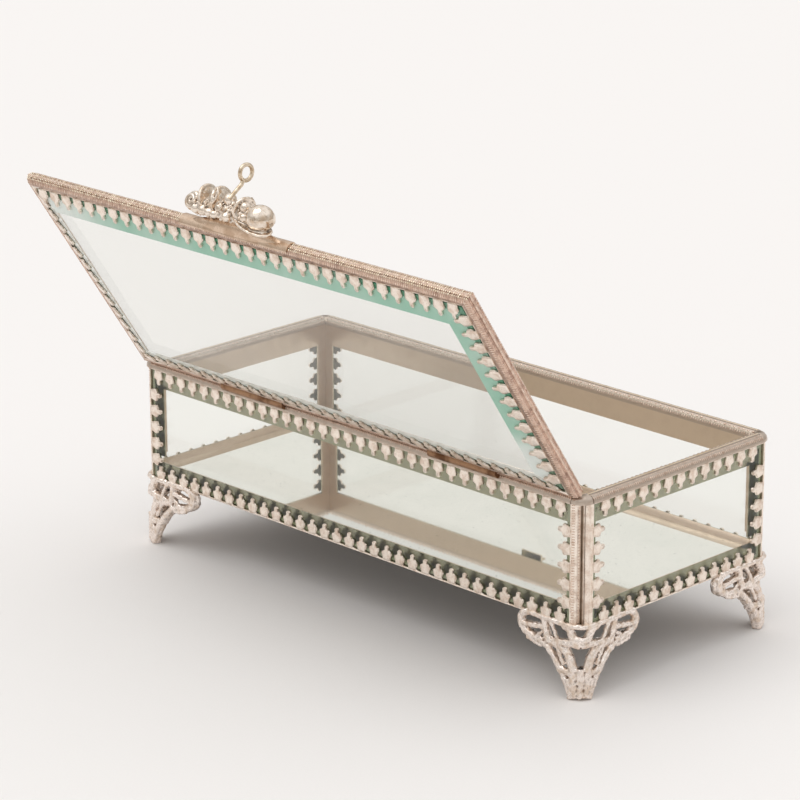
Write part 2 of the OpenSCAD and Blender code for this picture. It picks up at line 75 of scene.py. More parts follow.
# Places and axes, in millimetres and radians
LID_SLOPE = math.radians(16)  # slope of the lid's prongs and bevel
OPEN_ANGLE = math.radians(frame["joints"][0]["range_deg"][1])
HINGE = Vector(frame["joints"][0]["pos_m"]) / MM
MIRROR_LO, MIRROR_HI = (Vector(c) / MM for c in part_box("base_mirror"))
MID_Y = (MIRROR_LO.y + MIRROR_HI.y) / 2
TOP_Z = FOOT_H + BODY_H
UPRIGHT_TOP_Z = TOP_Z - UPRIGHT_DROP
LID_TOP_Z = TOP_Z + LID_REST_GAP + LID_STRIP_W
LID_BACK_Y = MID_Y + CASKET_W / 2 + LID_OVERHANG
LID_FRONT_Y = LID_BACK_Y - LID_W
OPENED = (
    Matrix.Translation(HINGE) @ Matrix.Rotation(-OPEN_ANGLE, 4, "X") @ Matrix.Translation(-HINGE)
)
UP = Vector((0, 0, 1))

# Each wall's outward direction, its face's distance from the middle and its length
SIDES = {
    "front": (Vector((0, -1, 0)), CASKET_W / 2, CASKET_L),
    "back": (Vector((0, 1, 0)), CASKET_W / 2, CASKET_L),
    "left": (Vector((-1, 0, 0)), CASKET_L / 2, CASKET_W),
    "right": (Vector((1, 0, 0)), CASKET_L / 2, CASKET_W),
}

# Each corner's sides along X and Y, and its name
CORNERS = ((-1, -1, "front_left"), (1, -1, "front_right"), (-1, 1, "back_left"), (1, 1, "back_right"))


# ---------------------------------------------------------------- helpers


def rgb(code: str) -> tuple[float, float, float, float]:
    """Turns an sRGB hex colour to linear light.

    Args:
        code: Six hex digits.
    Returns:
        Red, green, blue and an alpha of 1.
    """
    parts = [int(code[i : i + 2], 16) / 255 for i in (0, 2, 4)]
    lin = [c / 12.92 if c <= 0.04045 else ((c + 0.055) / 1.055) ** 2.4 for c in parts]
    return (lin[0], lin[1], lin[2], 1.0)


def put(tree: bpy.types.NodeTree, kind: str, inputs: dict | None = None, **settings) -> bpy.types.Node:
    """Adds a node with its settings and its inputs.

    Args:
        tree: The tree that gets the node.
        kind: The node's type name.
        inputs: Input key to a value, or to the output socket that feeds it.
        settings: The node's own properties.
    Returns:
        The new node.
    """
    node = tree.nodes.new(kind)
    for key, value in settings.items():
        setattr(node, key, value)
    for key, value in (inputs or {}).items():
        socket = node.inputs[key]
        if isinstance(value, bpy.types.NodeSocket):
            tree.links.new(value, socket)
        else:
            socket.default_value = value
    return node


def ramp(tree: bpy.types.NodeTree, source: bpy.types.NodeSocket, lo: float, hi: float,
         out_lo: float = 0.0, out_hi: float = 1.0) -> bpy.types.NodeSocket:
    """Maps a range of a value smoothly to another range.

    Args:
        tree: The material's tree.
        source: The value.
        lo, hi: The range that is read.
        out_lo, out_hi: The range that is given.
    Returns:
        The mapped value.
    """
    node = put(tree, "ShaderNodeMapRange", {
        "Value": source, "From Min": lo, "From Max": hi, "To Min": out_lo, "To Max": out_hi,
    }, interpolation_type="SMOOTHSTEP")
    return node.outputs["Result"]


def mixed(tree: bpy.types.NodeTree, factor: bpy.types.NodeSocket, a: bpy.types.NodeSocket | str,
          b: bpy.types.NodeSocket | str) -> bpy.types.NodeSocket:
    """Mixes two colours by a factor.

    Args:
        tree: The material's tree.
        factor: 0 for the first colour and 1 for the second.
        a, b: The colours, each a socket or a hex code.
    Returns:
        The mixed colour.
    """
    a, b = (rgb(c) if isinstance(c, str) else c for c in (a, b))
    node = put(tree, "ShaderNodeMix", {0: factor, 6: a, 7: b}, data_type="RGBA")
    return node.outputs[2]


def grain(tree: bpy.types.NodeTree, size_mm: float, detail: float) -> bpy.types.NodeSocket:
    """Makes noise on Object coordinates.

    Args:
        tree: The material's tree.
        size_mm: Size of its blotches, in millimetres.
        detail: How many finer layers it has.
    Returns:
        The noise, from 0 to 1.
    """
    place = put(tree, "ShaderNodeTexCoord").outputs["Object"]
    node = put(tree, "ShaderNodeTexNoise", {
        "Vector": place, "Scale": 1 / (size_mm * MM), "Detail": detail, "Roughness": 0.6,
    })
    return node.outputs["Fac"]


def folded_place(tree: bpy.types.NodeTree) -> bpy.types.NodeSocket:
    """Measures a place from the casket's middle, with its four quarters folded onto one.

    Args:
        tree: The material's tree.
    Returns:
        The distances along X, Y and Z, in metres.
    """
    place = put(tree, "ShaderNodeTexCoord").outputs["Object"]
    moved = put(tree, "ShaderNodeMapping", {"Vector": place, "Location": (0, -MID_Y * MM, 0)})
    return put(tree, "ShaderNodeVectorMath", {0: moved.outputs[0]}, operation="ABSOLUTE").outputs[0]


def new_material(name: str) -> tuple[bpy.types.Material, bpy.types.NodeTree, bpy.types.Node]:
    """Makes an empty node material.

    Args:
        name: The material's name.
    Returns:
        The material, its tree and its Principled shader.
    """
    material = bpy.data.materials.new(name)
    material.use_nodes = True
    tree = material.node_tree
    tree.nodes.clear()
    shader = put(tree, "ShaderNodeBsdfPrincipled")
    put(tree, "ShaderNodeOutputMaterial", {"Surface": shader.outputs[0]})
    return material, tree, shader


def link_object(name: str, mesh: bpy.types.Mesh) -> bpy.types.Object:
    """Adds a mesh to the scene as an object at the origin.

    Args:
        name: The object's name.
        mesh: The mesh, in metres.
    Returns:
        The new object.
    """
    piece = bpy.data.objects.new(name, mesh)
    bpy.context.scene.collection.objects.link(piece)
    return piece


def metre_mesh(name: str, bm: bmesh.types.BMesh) -> bpy.types.Mesh:
    """Turns a bmesh in millimetres to a mesh in metres, with its faces pointing outwards.

    Args:
        name: The mesh's name.
        bm: The shape, freed afterwards.
    Returns:
        The mesh.
    """
    bmesh.ops.recalc_face_normals(bm, faces=bm.faces)
    bmesh.ops.scale(bm, vec=(MM, MM, MM), verts=bm.verts)
    mesh = bpy.data.meshes.new(name)
    bm.to_mesh(mesh)
    bm.free()
    return mesh


def mesh_from(name: str, bm: bmesh.types.BMesh, smooth: bool = True,
              crease: float = 180.0) -> bpy.types.Object:
    """Turns a bmesh in millimetres to a piece, with its doubled corners joined.

    Args:
        name: The piece's name.
        bm: The shape, freed afterwards.
        smooth: Whether its faces are shaded smooth.
        crease: Degrees between two faces from which their shared edge stays sharp.
    Returns:
        The new object.
    """
    bmesh.ops.remove_doubles(bm, verts=bm.verts, dist=1e-4)
    mesh = metre_mesh(name, bm)
    if smooth:
        mesh.shade_smooth()
    else:
        mesh.shade_flat()
    if smooth and crease < 180:
        mesh.set_sharp_from_angle(angle=math.radians(crease))
    return link_object(name, mesh)


def baked(piece: bpy.types.Object) -> bpy.types.Object:
    """Turns a piece's modifiers into a plain mesh and removes them.

    Args:
        piece: The piece.
    Returns:
        The same piece.
    """
    graph = bpy.context.evaluated_depsgraph_get()
    graph.update()
    mesh = bpy.data.meshes.new_from_object(piece.evaluated_get(graph), depsgraph=graph)
    piece.modifiers.clear()
    piece.data = mesh
    return piece


def dressed(piece: bpy.types.Object, body: str,
            materials: Sequence[bpy.types.Material] = (), stands_for: Iterable[str] = ()) -> None:
    """Gives a piece its materials and its body, hides the CAD nodes that it replaces, and logs it.

    Args:
        piece: The piece.
        body: The CAD body that it rides on.
        materials: The materials, where the mesh has none yet.
        stands_for: CAD nodes that it replaces.
    """
    for material in materials:
        piece.data.materials.append(material)
    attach(piece, body)
    if stands_for:
        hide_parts(*stands_for)
    LOG.info("%s: %d faces on %s", piece.name, len(piece.data.polygons), body)


def node_shape(name: str, place: Matrix) -> bmesh.types.BMesh:
    """Copies a CAD node's mesh into the axes of a strip.

    Args:
        name: The node's name.
        place: The strip's own axes.
    Returns:
        The copy, in millimetres.
    """
    bm = bmesh.new()
    bm.from_mesh(frame["nodes"][name].data)
    bmesh.ops.scale(bm, vec=(1 / MM,) * 3, verts=bm.verts)
    bm.transform(place.inverted())
    return bm


def bridged(bm: bmesh.types.BMesh, loops: Sequence[Sequence[bmesh.types.BMVert]]) -> list[bmesh.types.BMFace]:
    """Joins each loop of corners to the next with a band of four-sided faces.

    Args:
        bm: The shape that holds the loops.
        loops: The loops, all with as many corners.
    Returns:
        The new faces, band by band.
    """
    faces = []
    for a, b in zip(loops, loops[1:]):
        count = len(a)
        for k in range(count):
            faces.append(bm.faces.new((a[k], a[(k + 1) % count], b[(k + 1) % count], b[k])))
    return faces


def around(count: int) -> list[float]:
    """Evenly spaced angles round a full turn, in radians."""
    return [2 * math.pi * k / count for k in range(count)]


def edge_radius(width: float, rise: float) -> float:
    """Radius of a rounded edge that spans a width and rises by a height."""
    return (width**2 / 4 + rise**2) / (2 * rise)


# ---------------------------------------------------------------- finishes


@dataclass(frozen=True)
class GiltMetal:
    """A gilt brass surface, worn and browned by handling, with painted shade where asked; metal keeps the
    default IOR.

    Attributes:
        name: Name of the material.
        bright: Colour where the gilding is clean.
        worn: Colour where it has dulled.
        dirt_and_shade: Colour of the dirt in the fine marks, and of the painted shade in the hollows.
        rough: Roughness of the clean and of the dulled metal.
        blotch_mm: Size of the dulled patches.
        grain_mm: Size of the fine marks of rolling or casting.
        bump_mm: Height of those marks.
        hollows: Pointiness below which the hollows get painted shade, or 0; for meshes whose faces are
            joined.
        inside: Colour of the plain flanges that face into the box, if they differ.
        behind: Painted shade, tinted green as the glass shows it, on the side of those flanges that lies
            against the glass.
        crown: Colour of the rounded edges along the top of the walls, if they differ.
        groove: Colour of the painted shade in the groove between the two uprights of each corner, if any.
    """

    name: str
    bright: str
    worn: str
    dirt_and_shade: str
    rough: tuple[float, float]
    blotch_mm: float
    grain_mm: float
    bump_mm: float
    hollows: float = 0.0
    inside: str = ""
    behind: str = ""
    crown: str = ""
    groove: str = ""

    def build(self) -> bpy.types.Material:
        """Makes the material.

        Returns:
            The material, whose blotches dull the gilding and whose fine marks catch the dirt.
        """
        # Ranges of the noise over which the gilding dulls, dirt gathers and the metal roughens
        dulls, dirties, roughens = (0.42, 0.68), (0.5, 0.75), (0.35, 0.7)
        most_dirt = 0.32
        material, tree, shader = new_material(self.name)
        blotch = grain(tree, self.blotch_mm, 4.0)
        fine = grain(tree, self.grain_mm, 2.0)
        dull = ramp(tree, blotch, *dulls)
        colour = mixed(tree, dull, self.bright, self.worn)
        dirt = ramp(tree, fine, *dirties, 0.0, most_dirt)
        colour = mixed(tree, dirt, colour, self.dirt_and_shade)
        colour = self.placed_colours(tree, colour)
        rough = ramp(tree, blotch, *roughens, *self.rough)
        bump = put(tree, "ShaderNodeBump", {
            "Height": fine, "Strength": 0.6, "Distance": self.bump_mm * MM,
        })
        for key, value in (("Base Color", colour), ("Roughness", rough), ("Normal", bump.outputs[0])):
            tree.links.new(value, shader.inputs[key])
        shader.inputs["Metallic"].default_value = 1.0
        return material

    def placed_colours(self, tree: bpy.types.NodeTree, colour: bpy.types.NodeSocket) -> bpy.types.NodeSocket:
        """Lays on the colours of certain places of the casket: their own colours, and painted shade.

        Args:
            tree: The material's tree.
            colour: The colour so far.
        Returns:
            The colour with painted shade in the hollows, behind the glass and in the corner grooves, and the
            colours of the inner flanges and the top edges.
        """
        softness, most_hollow_shade, most_crown = 0.09, 0.95, 0.8
        behind_depth, inside_depth = STRIP_W - 0.7, STRIP_W - 0.3
        # Painted shade in the hollows, which the mesh's pointiness finds
        if self.hollows:
            point = put(tree, "ShaderNodeNewGeometry").outputs["Pointiness"]
            shade_in_hollows = ramp(tree, point, self.hollows - softness, self.hollows, most_hollow_shade, 0.0)
            colour = mixed(tree, shade_in_hollows, colour, self.dirt_and_shade)
        # Painted shade, tinted green as the glass shows it, on the flanges' side against the glass; their own
        # colour deeper in
        if self.inside:
            colour = mixed(tree, self.inner_mask(tree, behind_depth), colour, self.behind)
            colour = mixed(tree, self.inner_mask(tree, inside_depth), colour, self.inside)
        if self.crown:
            place = put(tree, "ShaderNodeTexCoord").outputs["Object"]
            height = put(tree, "ShaderNodeSeparateXYZ", {0: place}).outputs["Z"]
            edge = (TOP_Z - CROWN_H) * MM
            on_crown = ramp(tree, height, edge, edge + 0.2 * MM, 0.0, most_crown)
            colour = mixed(tree, on_crown, colour, self.crown)
        # Painted shade in the groove where each corner's two uprights meet
        if self.groove:
            colour = mixed(tree, self.groove_shade_mask(tree), colour, self.groove)
        return colour

    def groove_shade_mask(self, tree: bpy.types.NodeTree) -> bpy.types.NodeSocket:
        """Finds the groove where the two uprights of a corner touch, for the painted shade there.

        Args:
            tree: The material's tree.
        Returns:
            A mask that fades out from the groove's line.
        """
        inset, core, reach, strength = 3.4, 0.2, 1.7, 0.85
        line = (-(CASKET_L / 2 - inset) * MM, -(CASKET_W / 2 - inset) * MM, 0)
        away = put(tree, "ShaderNodeMapping", {
            "Vector": folded_place(tree), "Location": line, "Scale": (1, 1, 0),
        })
        distance = put(tree, "ShaderNodeVectorMath", {0: away.outputs[0]}, operation="LENGTH")
        return ramp(tree, distance.outputs["Value"], core * MM, reach * MM, strength, 0.0)

    def inner_mask(self, tree: bpy.types.NodeTree, inset: float) -> bpy.types.NodeSocket:
        """Finds all that lies deeper in the box than a distance from its outer faces.

        Args:
            tree: The material's tree.
            inset: The distance, in millimetres.
        Returns:
            A mask of 1 inside and 0 outside.
        """
        axes = put(tree, "ShaderNodeSeparateXYZ", {0: folded_place(tree)})
        gaps = [
            put(tree, "ShaderNodeMath", {0: axes.outputs[i], 1: (half - inset) * MM}, operation="SUBTRACT")
            for i, half in enumerate((CASKET_L / 2, CASKET_W / 2))
        ]
        nearest = put(tree, "ShaderNodeMath", {0: gaps[0].outputs[0], 1: gaps[1].outputs[0]},
                      operation="MAXIMUM")
        return ramp(tree, nearest.outputs[0], 0.0, 0.1 * MM, 1.0, 0.0)


@dataclass(frozen=True)
class SheetGlass:
    """Old soda-lime glass, faintly green, with a film of dust that only blurs it slightly.

    Attributes:
        name: Name of the material.
        tint: Colour of light that has passed through.
        see_through: Share of light that passes.
        rough: Roughness of the surface.
        fade: Whether the tint fades to clear at the lid's far end and towards its hinges.
        pale: Colour that it fades to.
        dust: Colour of the film's streaks.
        streak_mm: Size of the streaks.
    """

    name: str
    tint: str
    see_through: float
    rough: float
    fade: bool = False
    pale: str = "E8EFEA"
    dust: str = "F8FAF7"
    streak_mm: float = 14.0

    def build(self) -> bpy.types.Material:
        """Makes the material.

        Returns:
            The material, with the refraction of soda-lime glass.
        """
        material, tree, shader = new_material(self.name)
        streak = ramp(tree, grain(tree, self.streak_mm, 2.0), 0.3, 0.8, 0.0, 0.25)
        tint = mixed(tree, streak, self.tint, self.dust)
        if self.fade:
            tint = mixed(tree, self.fade_mask(tree), tint, self.pale)
        tree.links.new(tint, shader.inputs["Base Color"])
        shader.inputs["Transmission Weight"].default_value = self.see_through
        shader.inputs["IOR"].default_value = 1.5
        shader.inputs["Roughness"].default_value = self.rough
        return material

    def fade_mask(self, tree: bpy.types.NodeTree) -> bpy.types.NodeSocket:
        """Finds where the bevel looks clear: near the +X end and near the hinges.

        Args:
            tree: The material's tree.
        Returns:
            A mask of 1 there.
        """
        fade_x, fade_z = (52, 88), (HINGE.z + 12, HINGE.z + 24)
        place = put(tree, "ShaderNodeTexCoord").outputs["Object"]
        axes = put(tree, "ShaderNodeSeparateXYZ", {0: place})
        far = ramp(tree, axes.outputs["X"], fade_x[0] * MM, fade_x[1] * MM)
        low = ramp(tree, axes.outputs["Z"], fade_z[0] * MM, fade_z[1] * MM, 1.0, 0.0)
        both = put(tree, "ShaderNodeMath", {0: far, 1: low}, operation="MAXIMUM")
        return both.outputs[0]


@dataclass(frozen=True)
class SilveredGlass:
    """Mirror plate: silvering behind glass, slightly green, with fine specks of dust.

    Attributes:
        name: Name of the material.
        colour: Colour of what it mirrors.
        film: Colour where a greasy film dulls it.
        speck: Colour of the specks.
        backing: Colour of the paint on its underside.
        rough: Roughness of the surface.
    """

    name: str = "silvered_mirror_plate"
    colour: str = "F4F5F0"
    film: str = "E9ECE6"
    speck: str = "AEB4A8"
    backing: str = "3A3632"
    rough: float = 0.035

    def build(self) -> bpy.types.Material:
        """Makes the material.

        Returns:
            The material: a metal's reflection on top, and dull paint on the side that faces down.
        """
        material, tree, shader = new_material(self.name)
        speck = ramp(tree, grain(tree, 0.8, 1.0), 0.70, 0.78)
        film = ramp(tree, grain(tree, 22.0, 3.0), 0.35, 0.75, 0.0, 0.5)
        colour = mixed(tree, film, self.colour, self.film)
        colour = mixed(tree, speck, colour, self.speck)
        normal = put(tree, "ShaderNodeNewGeometry").outputs["Normal"]
        facing = put(tree, "ShaderNodeSeparateXYZ", {0: normal}).outputs["Z"]
        underside = ramp(tree, facing, -0.9, -0.5, 1.0, 0.0)
        colour = mixed(tree, underside, colour, self.backing)
        tree.links.new(colour, shader.inputs["Base Color"])
        shader.inputs["Metallic"].default_value = 1.0
        shader.inputs["Roughness"].default_value = self.rough
        return material


class Finish(Enum):
    """The finishes of the casket, one for each kind of surface."""

    # Thin stamped sheet: soft highlights that break up where the gilding has dulled
    STRIP = GiltMetal("stamped_gilt_brass", "F8ECE0", "E3D0C0", "A0846C", (0.28, 0.46), 2.6, 0.45, 0.05)
    # The same sheet on the walls: darker on top, with painted shade on the flanges behind the glass and in
    # the corners' grooves
    RAIL = GiltMetal("rolled_gilt_brass", "F8ECE0", "E3D0C0", "A0846C", (0.28, 0.46), 2.6, 0.45, 0.05,
                     inside="CDB8A2", behind="9E9C80", crown="B2A294", groove="68543E")
    # The lid's rubbed outer edge: rosy brass shows through
    CROWN = GiltMetal("worn_gilt_edge", "DFC2B0", "B8998A", "745A48", (0.26, 0.44), 2.0, 0.4, 0.05)
    # Small milled ribs: a broken glitter with brown between them
    MILLED = GiltMetal("milled_gilt_brass", "EBD6C6", "C9AC98", "7E604C", (0.22, 0.4), 1.6, 0.35, 0.03)
    # The clean beads of the lid's free edge: bright points
    SPARKLE = GiltMetal("bright_gilt_beads", "FFF3DE", "EAD6B8", "A0825F", (0.16, 0.30), 1.2, 0.4, 0.02)
    # The ridge that hands rub: one long warm highlight
    RIDGE = GiltMetal("rubbed_gilt_ridge", "FBE9CC", "DEC398", "94744A", (0.2, 0.34), 4.0, 0.5, 0.02)
    # Sand-cast metal: a grainy skin, silvery on high places, with painted brown shade in its hollows
    CAST = GiltMetal("cast_gilt_metal", "FBF0E8", "E6D3C2", "5E4024", (0.24, 0.42), 2.2, 0.5, 0.08,
                     hollows=0.505)
    # Finely cast and burnished: sharp reflections, with painted dark shade in the hollows of its carving
    ORNAMENT = GiltMetal("polished_cast_gilt", "F3E6D8", "D3BDA6", "3E2A1A", (0.08, 0.2), 2.6, 0.7, 0.03,
                         hollows=0.515)
    # Plain rolled sheet: broad, even reflections
    PLATE = GiltMetal("plain_gilt_sheet", "DCC4AE", "C4A88F", "94785C", (0.22, 0.34), 5.0, 0.6, 0.02)
    # Drawn wire: narrow bright lines
    WIRE = GiltMetal("drawn_gilt_wire", "E8D8C2", "BFA88C", "7A6044", (0.14, 0.28), 2.5, 0.4, 0.01)
    # Brass that was never gilt: dull and brown
    HINGE = GiltMetal("aged_hinge_brass", "A37F62", "6E4C34", "3E2A1A", (0.34, 0.52), 5.0, 0.5, 0.03)
    # Float glass: clear
    PANE = SheetGlass("clear_float_glass", "FCFDFB", 1.0, 0.0)
    # The lid's thicker plate: a touch greyer
    LID_PANE = SheetGlass("clear_lid_glass", "F4F5F2", 1.0, 0.0)
    # A pane's cut edge: dull olive, which also stands for painted shade deep in the keyholes
    PANE_EDGE_AND_SHADE = SheetGlass("pane_edge_glass_and_shade", "8F9674", 0.25, 0.25)
    # A polished bevel: the milky green that the plate's thickness gives
    BEVEL = SheetGlass("green_bevel_glass", "9CCDB6", 0.10, 0.12, fade=True)
    # The bevel's own edge: deeper green
    LID_EDGE = SheetGlass("lid_edge_glass", "4E9272", 0.12, 0.2, fade=True, pale="6E8A72")
    # Silvered plate: a clear reflection, softened by dust
    MIRROR = SilveredGlass()


class Shop:
    """Builds each finish once and hands it out."""

    made: dict[Finish, bpy.types.Material] = {}

    @classmethod
    def get(cls, finish: Finish) -> bpy.types.Material:
        """Hands out the material of a finish.

        Args:
            finish: The finish.
        Returns:
            Its material.
        """
        if finish not in cls.made:
            cls.made[finish] = finish.value.build()
        return cls.made[finish]

    @classmethod
    def paint(cls, node: bpy.types.Object, finish: Finish) -> None:
        """Gives a CAD node that shows as it is its finish, and logs it.

        Args:
            node: The node.
            finish: The finish.
        """
        node.data.materials.clear()
        node.data.materials.append(cls.get(finish))
        LOG.info("%s: %s", node.name, finish.name)


# ---------------------------------------------------------------- repeated ornament


@dataclass
class Guide:
    """A straight line that ornament follows.

    Attributes:
        start, end: Its ends, in millimetres.
        up: The direction in which the ornament stands.
    """

    start: Vector
    end: Vector
    up: Vector


@dataclass
class Stamper:
    """Repeats a small shape along guides with Geometry Nodes, as a roller stamps a strip.

    Attributes:
        seed: Seed of the shapes' unevenness.
        slack: Share of the pitch that is used, so that rounding never drops a run's last shape.
        tree: The node tree.
        sockets: Identifier of each of its inputs, by name.
    """

    seed: int = 7
    slack: float = 0.999
    tree: bpy.types.NodeTree = field(init=False)
    sockets: dict[str, str] = field(init=False)

    def __post_init__(self) -> None:
        """Builds the node tree once."""
        tree = bpy.data.node_groups.new("stamped_row", "GeometryNodeTree")
        kinds = {
            "Guides": "NodeSocketGeometry", "Shape": "NodeSocketObject", "Pitch": "NodeSocketFloat",
            "Size": "NodeSocketVector", "Unevenness": "NodeSocketFloat", "Material": "NodeSocketMaterial",
        }
        self.sockets = {
            name: tree.interface.new_socket(name, in_out="INPUT", socket_type=kind).identifier
            for name, kind in kinds.items()
        }
        tree.interface.new_socket("Geometry", in_out="OUTPUT", socket_type="NodeSocketGeometry")
        given = put(tree, "NodeGroupInput").outputs
        line = put(tree, "GeometryNodeMeshToCurve", {"Mesh": given["Guides"]})
        points = put(tree, "GeometryNodeResampleCurve", {
            "Curve": line.outputs[0], "Length": given["Pitch"],
        }, mode="LENGTH")
        up = put(tree, "GeometryNodeInputNamedAttribute", {"Name": "up"}, data_type="FLOAT_VECTOR")
        turn = put(tree, "FunctionNodeAxesToRotation", {
            "Primary Axis": up.outputs[0],
            "Secondary Axis": put(tree, "GeometryNodeInputTangent").outputs[0],
        }, primary_axis="Z", secondary_axis="X")
        least = put(tree, "ShaderNodeMath", {0: 1.0, 1: given["Unevenness"]}, operation="SUBTRACT")
        chance = put(tree, "FunctionNodeRandomValue", {2: least.outputs[0], "Seed": self.seed},
                     data_type="FLOAT")
        size = put(tree, "ShaderNodeVectorMath", {0: given["Size"], "Scale": chance.outputs[1]},
                   operation="SCALE")
        shape = put(tree, "GeometryNodeObjectInfo", {"Object": given["Shape"]})
        stamped = put(tree, "GeometryNodeInstanceOnPoints", {
            "Points": points.outputs[0], "Instance": shape.outputs["Geometry"],
            "Rotation": turn.outputs[0], "Scale": size.outputs[0],
        })
        real = put(tree, "GeometryNodeRealizeInstances", {0: stamped.outputs[0]})
        paint = put(tree, "GeometryNodeSetMaterial", {
            "Geometry": real.outputs[0], "Material": given["Material"],
        })
        put(tree, "NodeGroupOutput", {0: paint.outputs[0]})
        self.tree = tree

    def row(self, name: str, guides: Sequence[Guide], shape: bpy.types.Object, pitch: float,
            size: tuple[float, float, float], uneven: float, finish: Finish) -> bpy.types.Object:
        """Stamps a shape along guides.

        Args:
            name: Name of the piece.
            guides: The lines to follow.
            shape: The shape, drawn with x along the line and z standing up.
            pitch: Distance from one shape to the next, in millimetres.
            size: Scale of the shape along its own axes.
            uneven: How much smaller a shape may be than the rest.
            finish: The finish of the row.
        Returns:
            The piece, as a plain mesh.
        """
        mesh = bpy.data.meshes.new(name)
        ends = [p * MM for g in guides for p in (g.start, g.end)]
        mesh.from_pydata(ends, [(2 * i, 2 * i + 1) for i in range(len(guides))], [])
        ups = mesh.attributes.new("up", "FLOAT_VECTOR", "POINT")
        ups.data.foreach_set("vector", [c for g in guides for _ in (0, 1) for c in g.up])
        piece = link_object(name, mesh)
        modifier = piece.modifiers.new("stamp", "NODES")
        modifier.node_group = self.tree
        values = {"Shape": shape, "Pitch": pitch * self.slack * MM, "Size": size, "Unevenness": uneven,
                  "Material": Shop.get(finish)}
        for key, value in values.items():
            modifier[self.sockets[key]] = value
        baked(piece)
        piece.data.shade_smooth()
        return piece


def template(name: str, bm: bmesh.types.BMesh) -> bpy.types.Object:
    """Makes a shape to be stamped, which is removed once its rows are made.

    Args:
        name: The shape's name.
        bm: The shape, in millimetres.
    Returns:
        The shape's object, hidden from renders.
    """
    piece = mesh_from(name, bm)
    piece.hide_render = True
    return piece


def bead_shape() -> bpy.types.Object:
    """Makes a low bead of unit length, width and height, with its lower half left off.

    Returns:
        The shape to be stamped.
    """
    bm = bmesh.new()
    rings, sides = 3, 8
    loops = []
    for i in range(rings):
        a = math.pi / 2 * i / rings
        loops.append([
            bm.verts.new((0.5 * math.cos(a) * math.cos(t), 0.5 * math.cos(a) * math.sin(t), math.sin(a)))
            for t in around(sides)
        ])
    top = bm.verts.new((0, 0, 1))
    bridged(bm, loops)
    for k in range(sides):
        bm.faces.new((loops[-1][k], loops[-1][(k + 1) % sides], top))
    bm.faces.new(list(reversed(loops[0])))
    return template("bead_shape", bm)


# Half width of a prong, in millimetres, and share of its length, from its root to its tip
PRONG_HALF = ((1.65, 0.0), (1.65, 0.1), (2.1, 0.38), (2.1, 0.54), (1.0, 0.64), (0.8, 0.7), (0.8, 0.9),
              (0.4, 1.0))


def prong_shape() -> bpy.types.Object:
    """Makes the raised face of one prong: a domed leaf with two shoulders, a spine and a plain border.

    Returns:
        The shape to be stamped.
    """
    bm = bmesh.new()
    border, widest, least = 0.16, 2.1, 0.12
    tip_share, tip_from, tip_pull = 0.955, 0.9, 0.5
    spine_low, spine_high, low_from, low_to = 0.12, 0.32, 0.3, 0.6
    # How far each row lies inside the border where the prong is widest, and its height
    rows_in = ((0.0, 0.0), (0.16, 0.14), (0.7, 0.2))
    sides = []
    for sign in (-1, 1):
        rows = []
        for back, height in rows_in:
            rows.append([
                bm.verts.new((
                    sign * max(half - border - back * half / widest, least),
                    PRONG_LEN * min(share, tip_share) - (back * tip_pull if share > tip_from else 0.0),
                    height,
                ))
                for half, share in PRONG_HALF
            ])
        sides.append(rows)
    spine = []
    for _, share in PRONG_HALF:
        height = spine_low if low_from < share < low_to else spine_high
        spine.append(bm.verts.new((0, PRONG_LEN * min(share, tip_share), height)))
    for rows in sides:
        for a, b in zip(rows, [*rows[1:], spine]):
            for k in range(len(spine) - 1):
                bm.faces.new((a[k], a[k + 1], b[k + 1], b[k]))
    bm.faces.new([*sides[0][0], *reversed(sides[1][0])])
    for k in (0, -1):
        bm.faces.new([*(rows[k] for rows in sides[0]), spine[k], *(rows[k] for rows in reversed(sides[1]))])
    return template("prong_shape", bm)


@dataclass
class Strip:
    """One straight run of gallery strip.

    Attributes:
        body: The CAD body that it belongs to.
        place: Its own axes: x along, y towards the prongs' tips, z out of its outer face.
        length: Length of its plain part.
        width: Thickness that it wraps.
        rise: Rise of its rounded edge.
        prongs: Number of prongs.
        mitred: Whether its ends are cut at 45 degrees.
        milled: Whether its rounded edge is milled, or else plainly ridged.
    """

    body: str
    place: Matrix
    length: float
    width: float
    rise: float
    prongs: int
    mitred: bool = False
    milled: bool = True

    def guide(self, y: float, z: float, up: tuple[float, float, float], half: float) -> Guide:
        """Draws a guide along the strip.

        Args:
            y, z: Its place in the strip's section.
            up: The direction in which the ornament stands, in the strip's axes.
            half: Half the guide's length.
        Returns:
            The guide.
        """
        ends = [self.place @ Vector((x, y, z)) for x in (-half, half)]
        return Guide(*ends, self.place.to_3x3() @ Vector(up))

    def edge_line(self, angle: float, lift: float) -> Guide:
        """Draws a guide on the rounded edge.

        Args:
            angle: Degrees from the outermost line, positive towards the outer face.
            lift: Distance above the surface.
        Returns:
            The guide.
        """
        short = 0.3  # stops just before the strip's end
        radius = edge_radius(self.width, self.rise)
        a = math.radians(angle)
        y = radius - self.rise - (radius + lift) * math.cos(a)
        z = -self.width / 2 + (radius + lift) * math.sin(a)
        half = self.length / 2 - short - (y + self.rise if self.mitred else 0.0)
        return self.guide(y, z, (0, -math.cos(a), math.sin(a)), half)

    def prong_line(self) -> Guide:
        """Draws a guide through the prongs' roots, from the first prong to the last."""
        lean = LID_SLOPE if self.body == LID else 0.0
        return self.guide(0, 0, (0, -math.sin(lean), math.cos(lean)), (self.prongs - 1) / 2 * PITCH)


def placed(prong_way: Vector, out: Vector, origin: Vector) -> Matrix:
    """Sets up the axes of a strip.

    Args:
        prong_way: Direction of its prongs.
        out: Direction of its outer face.
        origin: Its middle.
    Returns:
        The axes.
    """
    along = prong_way.cross(out)
    matrix = Matrix((along, prong_way, out)).transposed().to_4x4()
    matrix.translation = origin
    return matrix


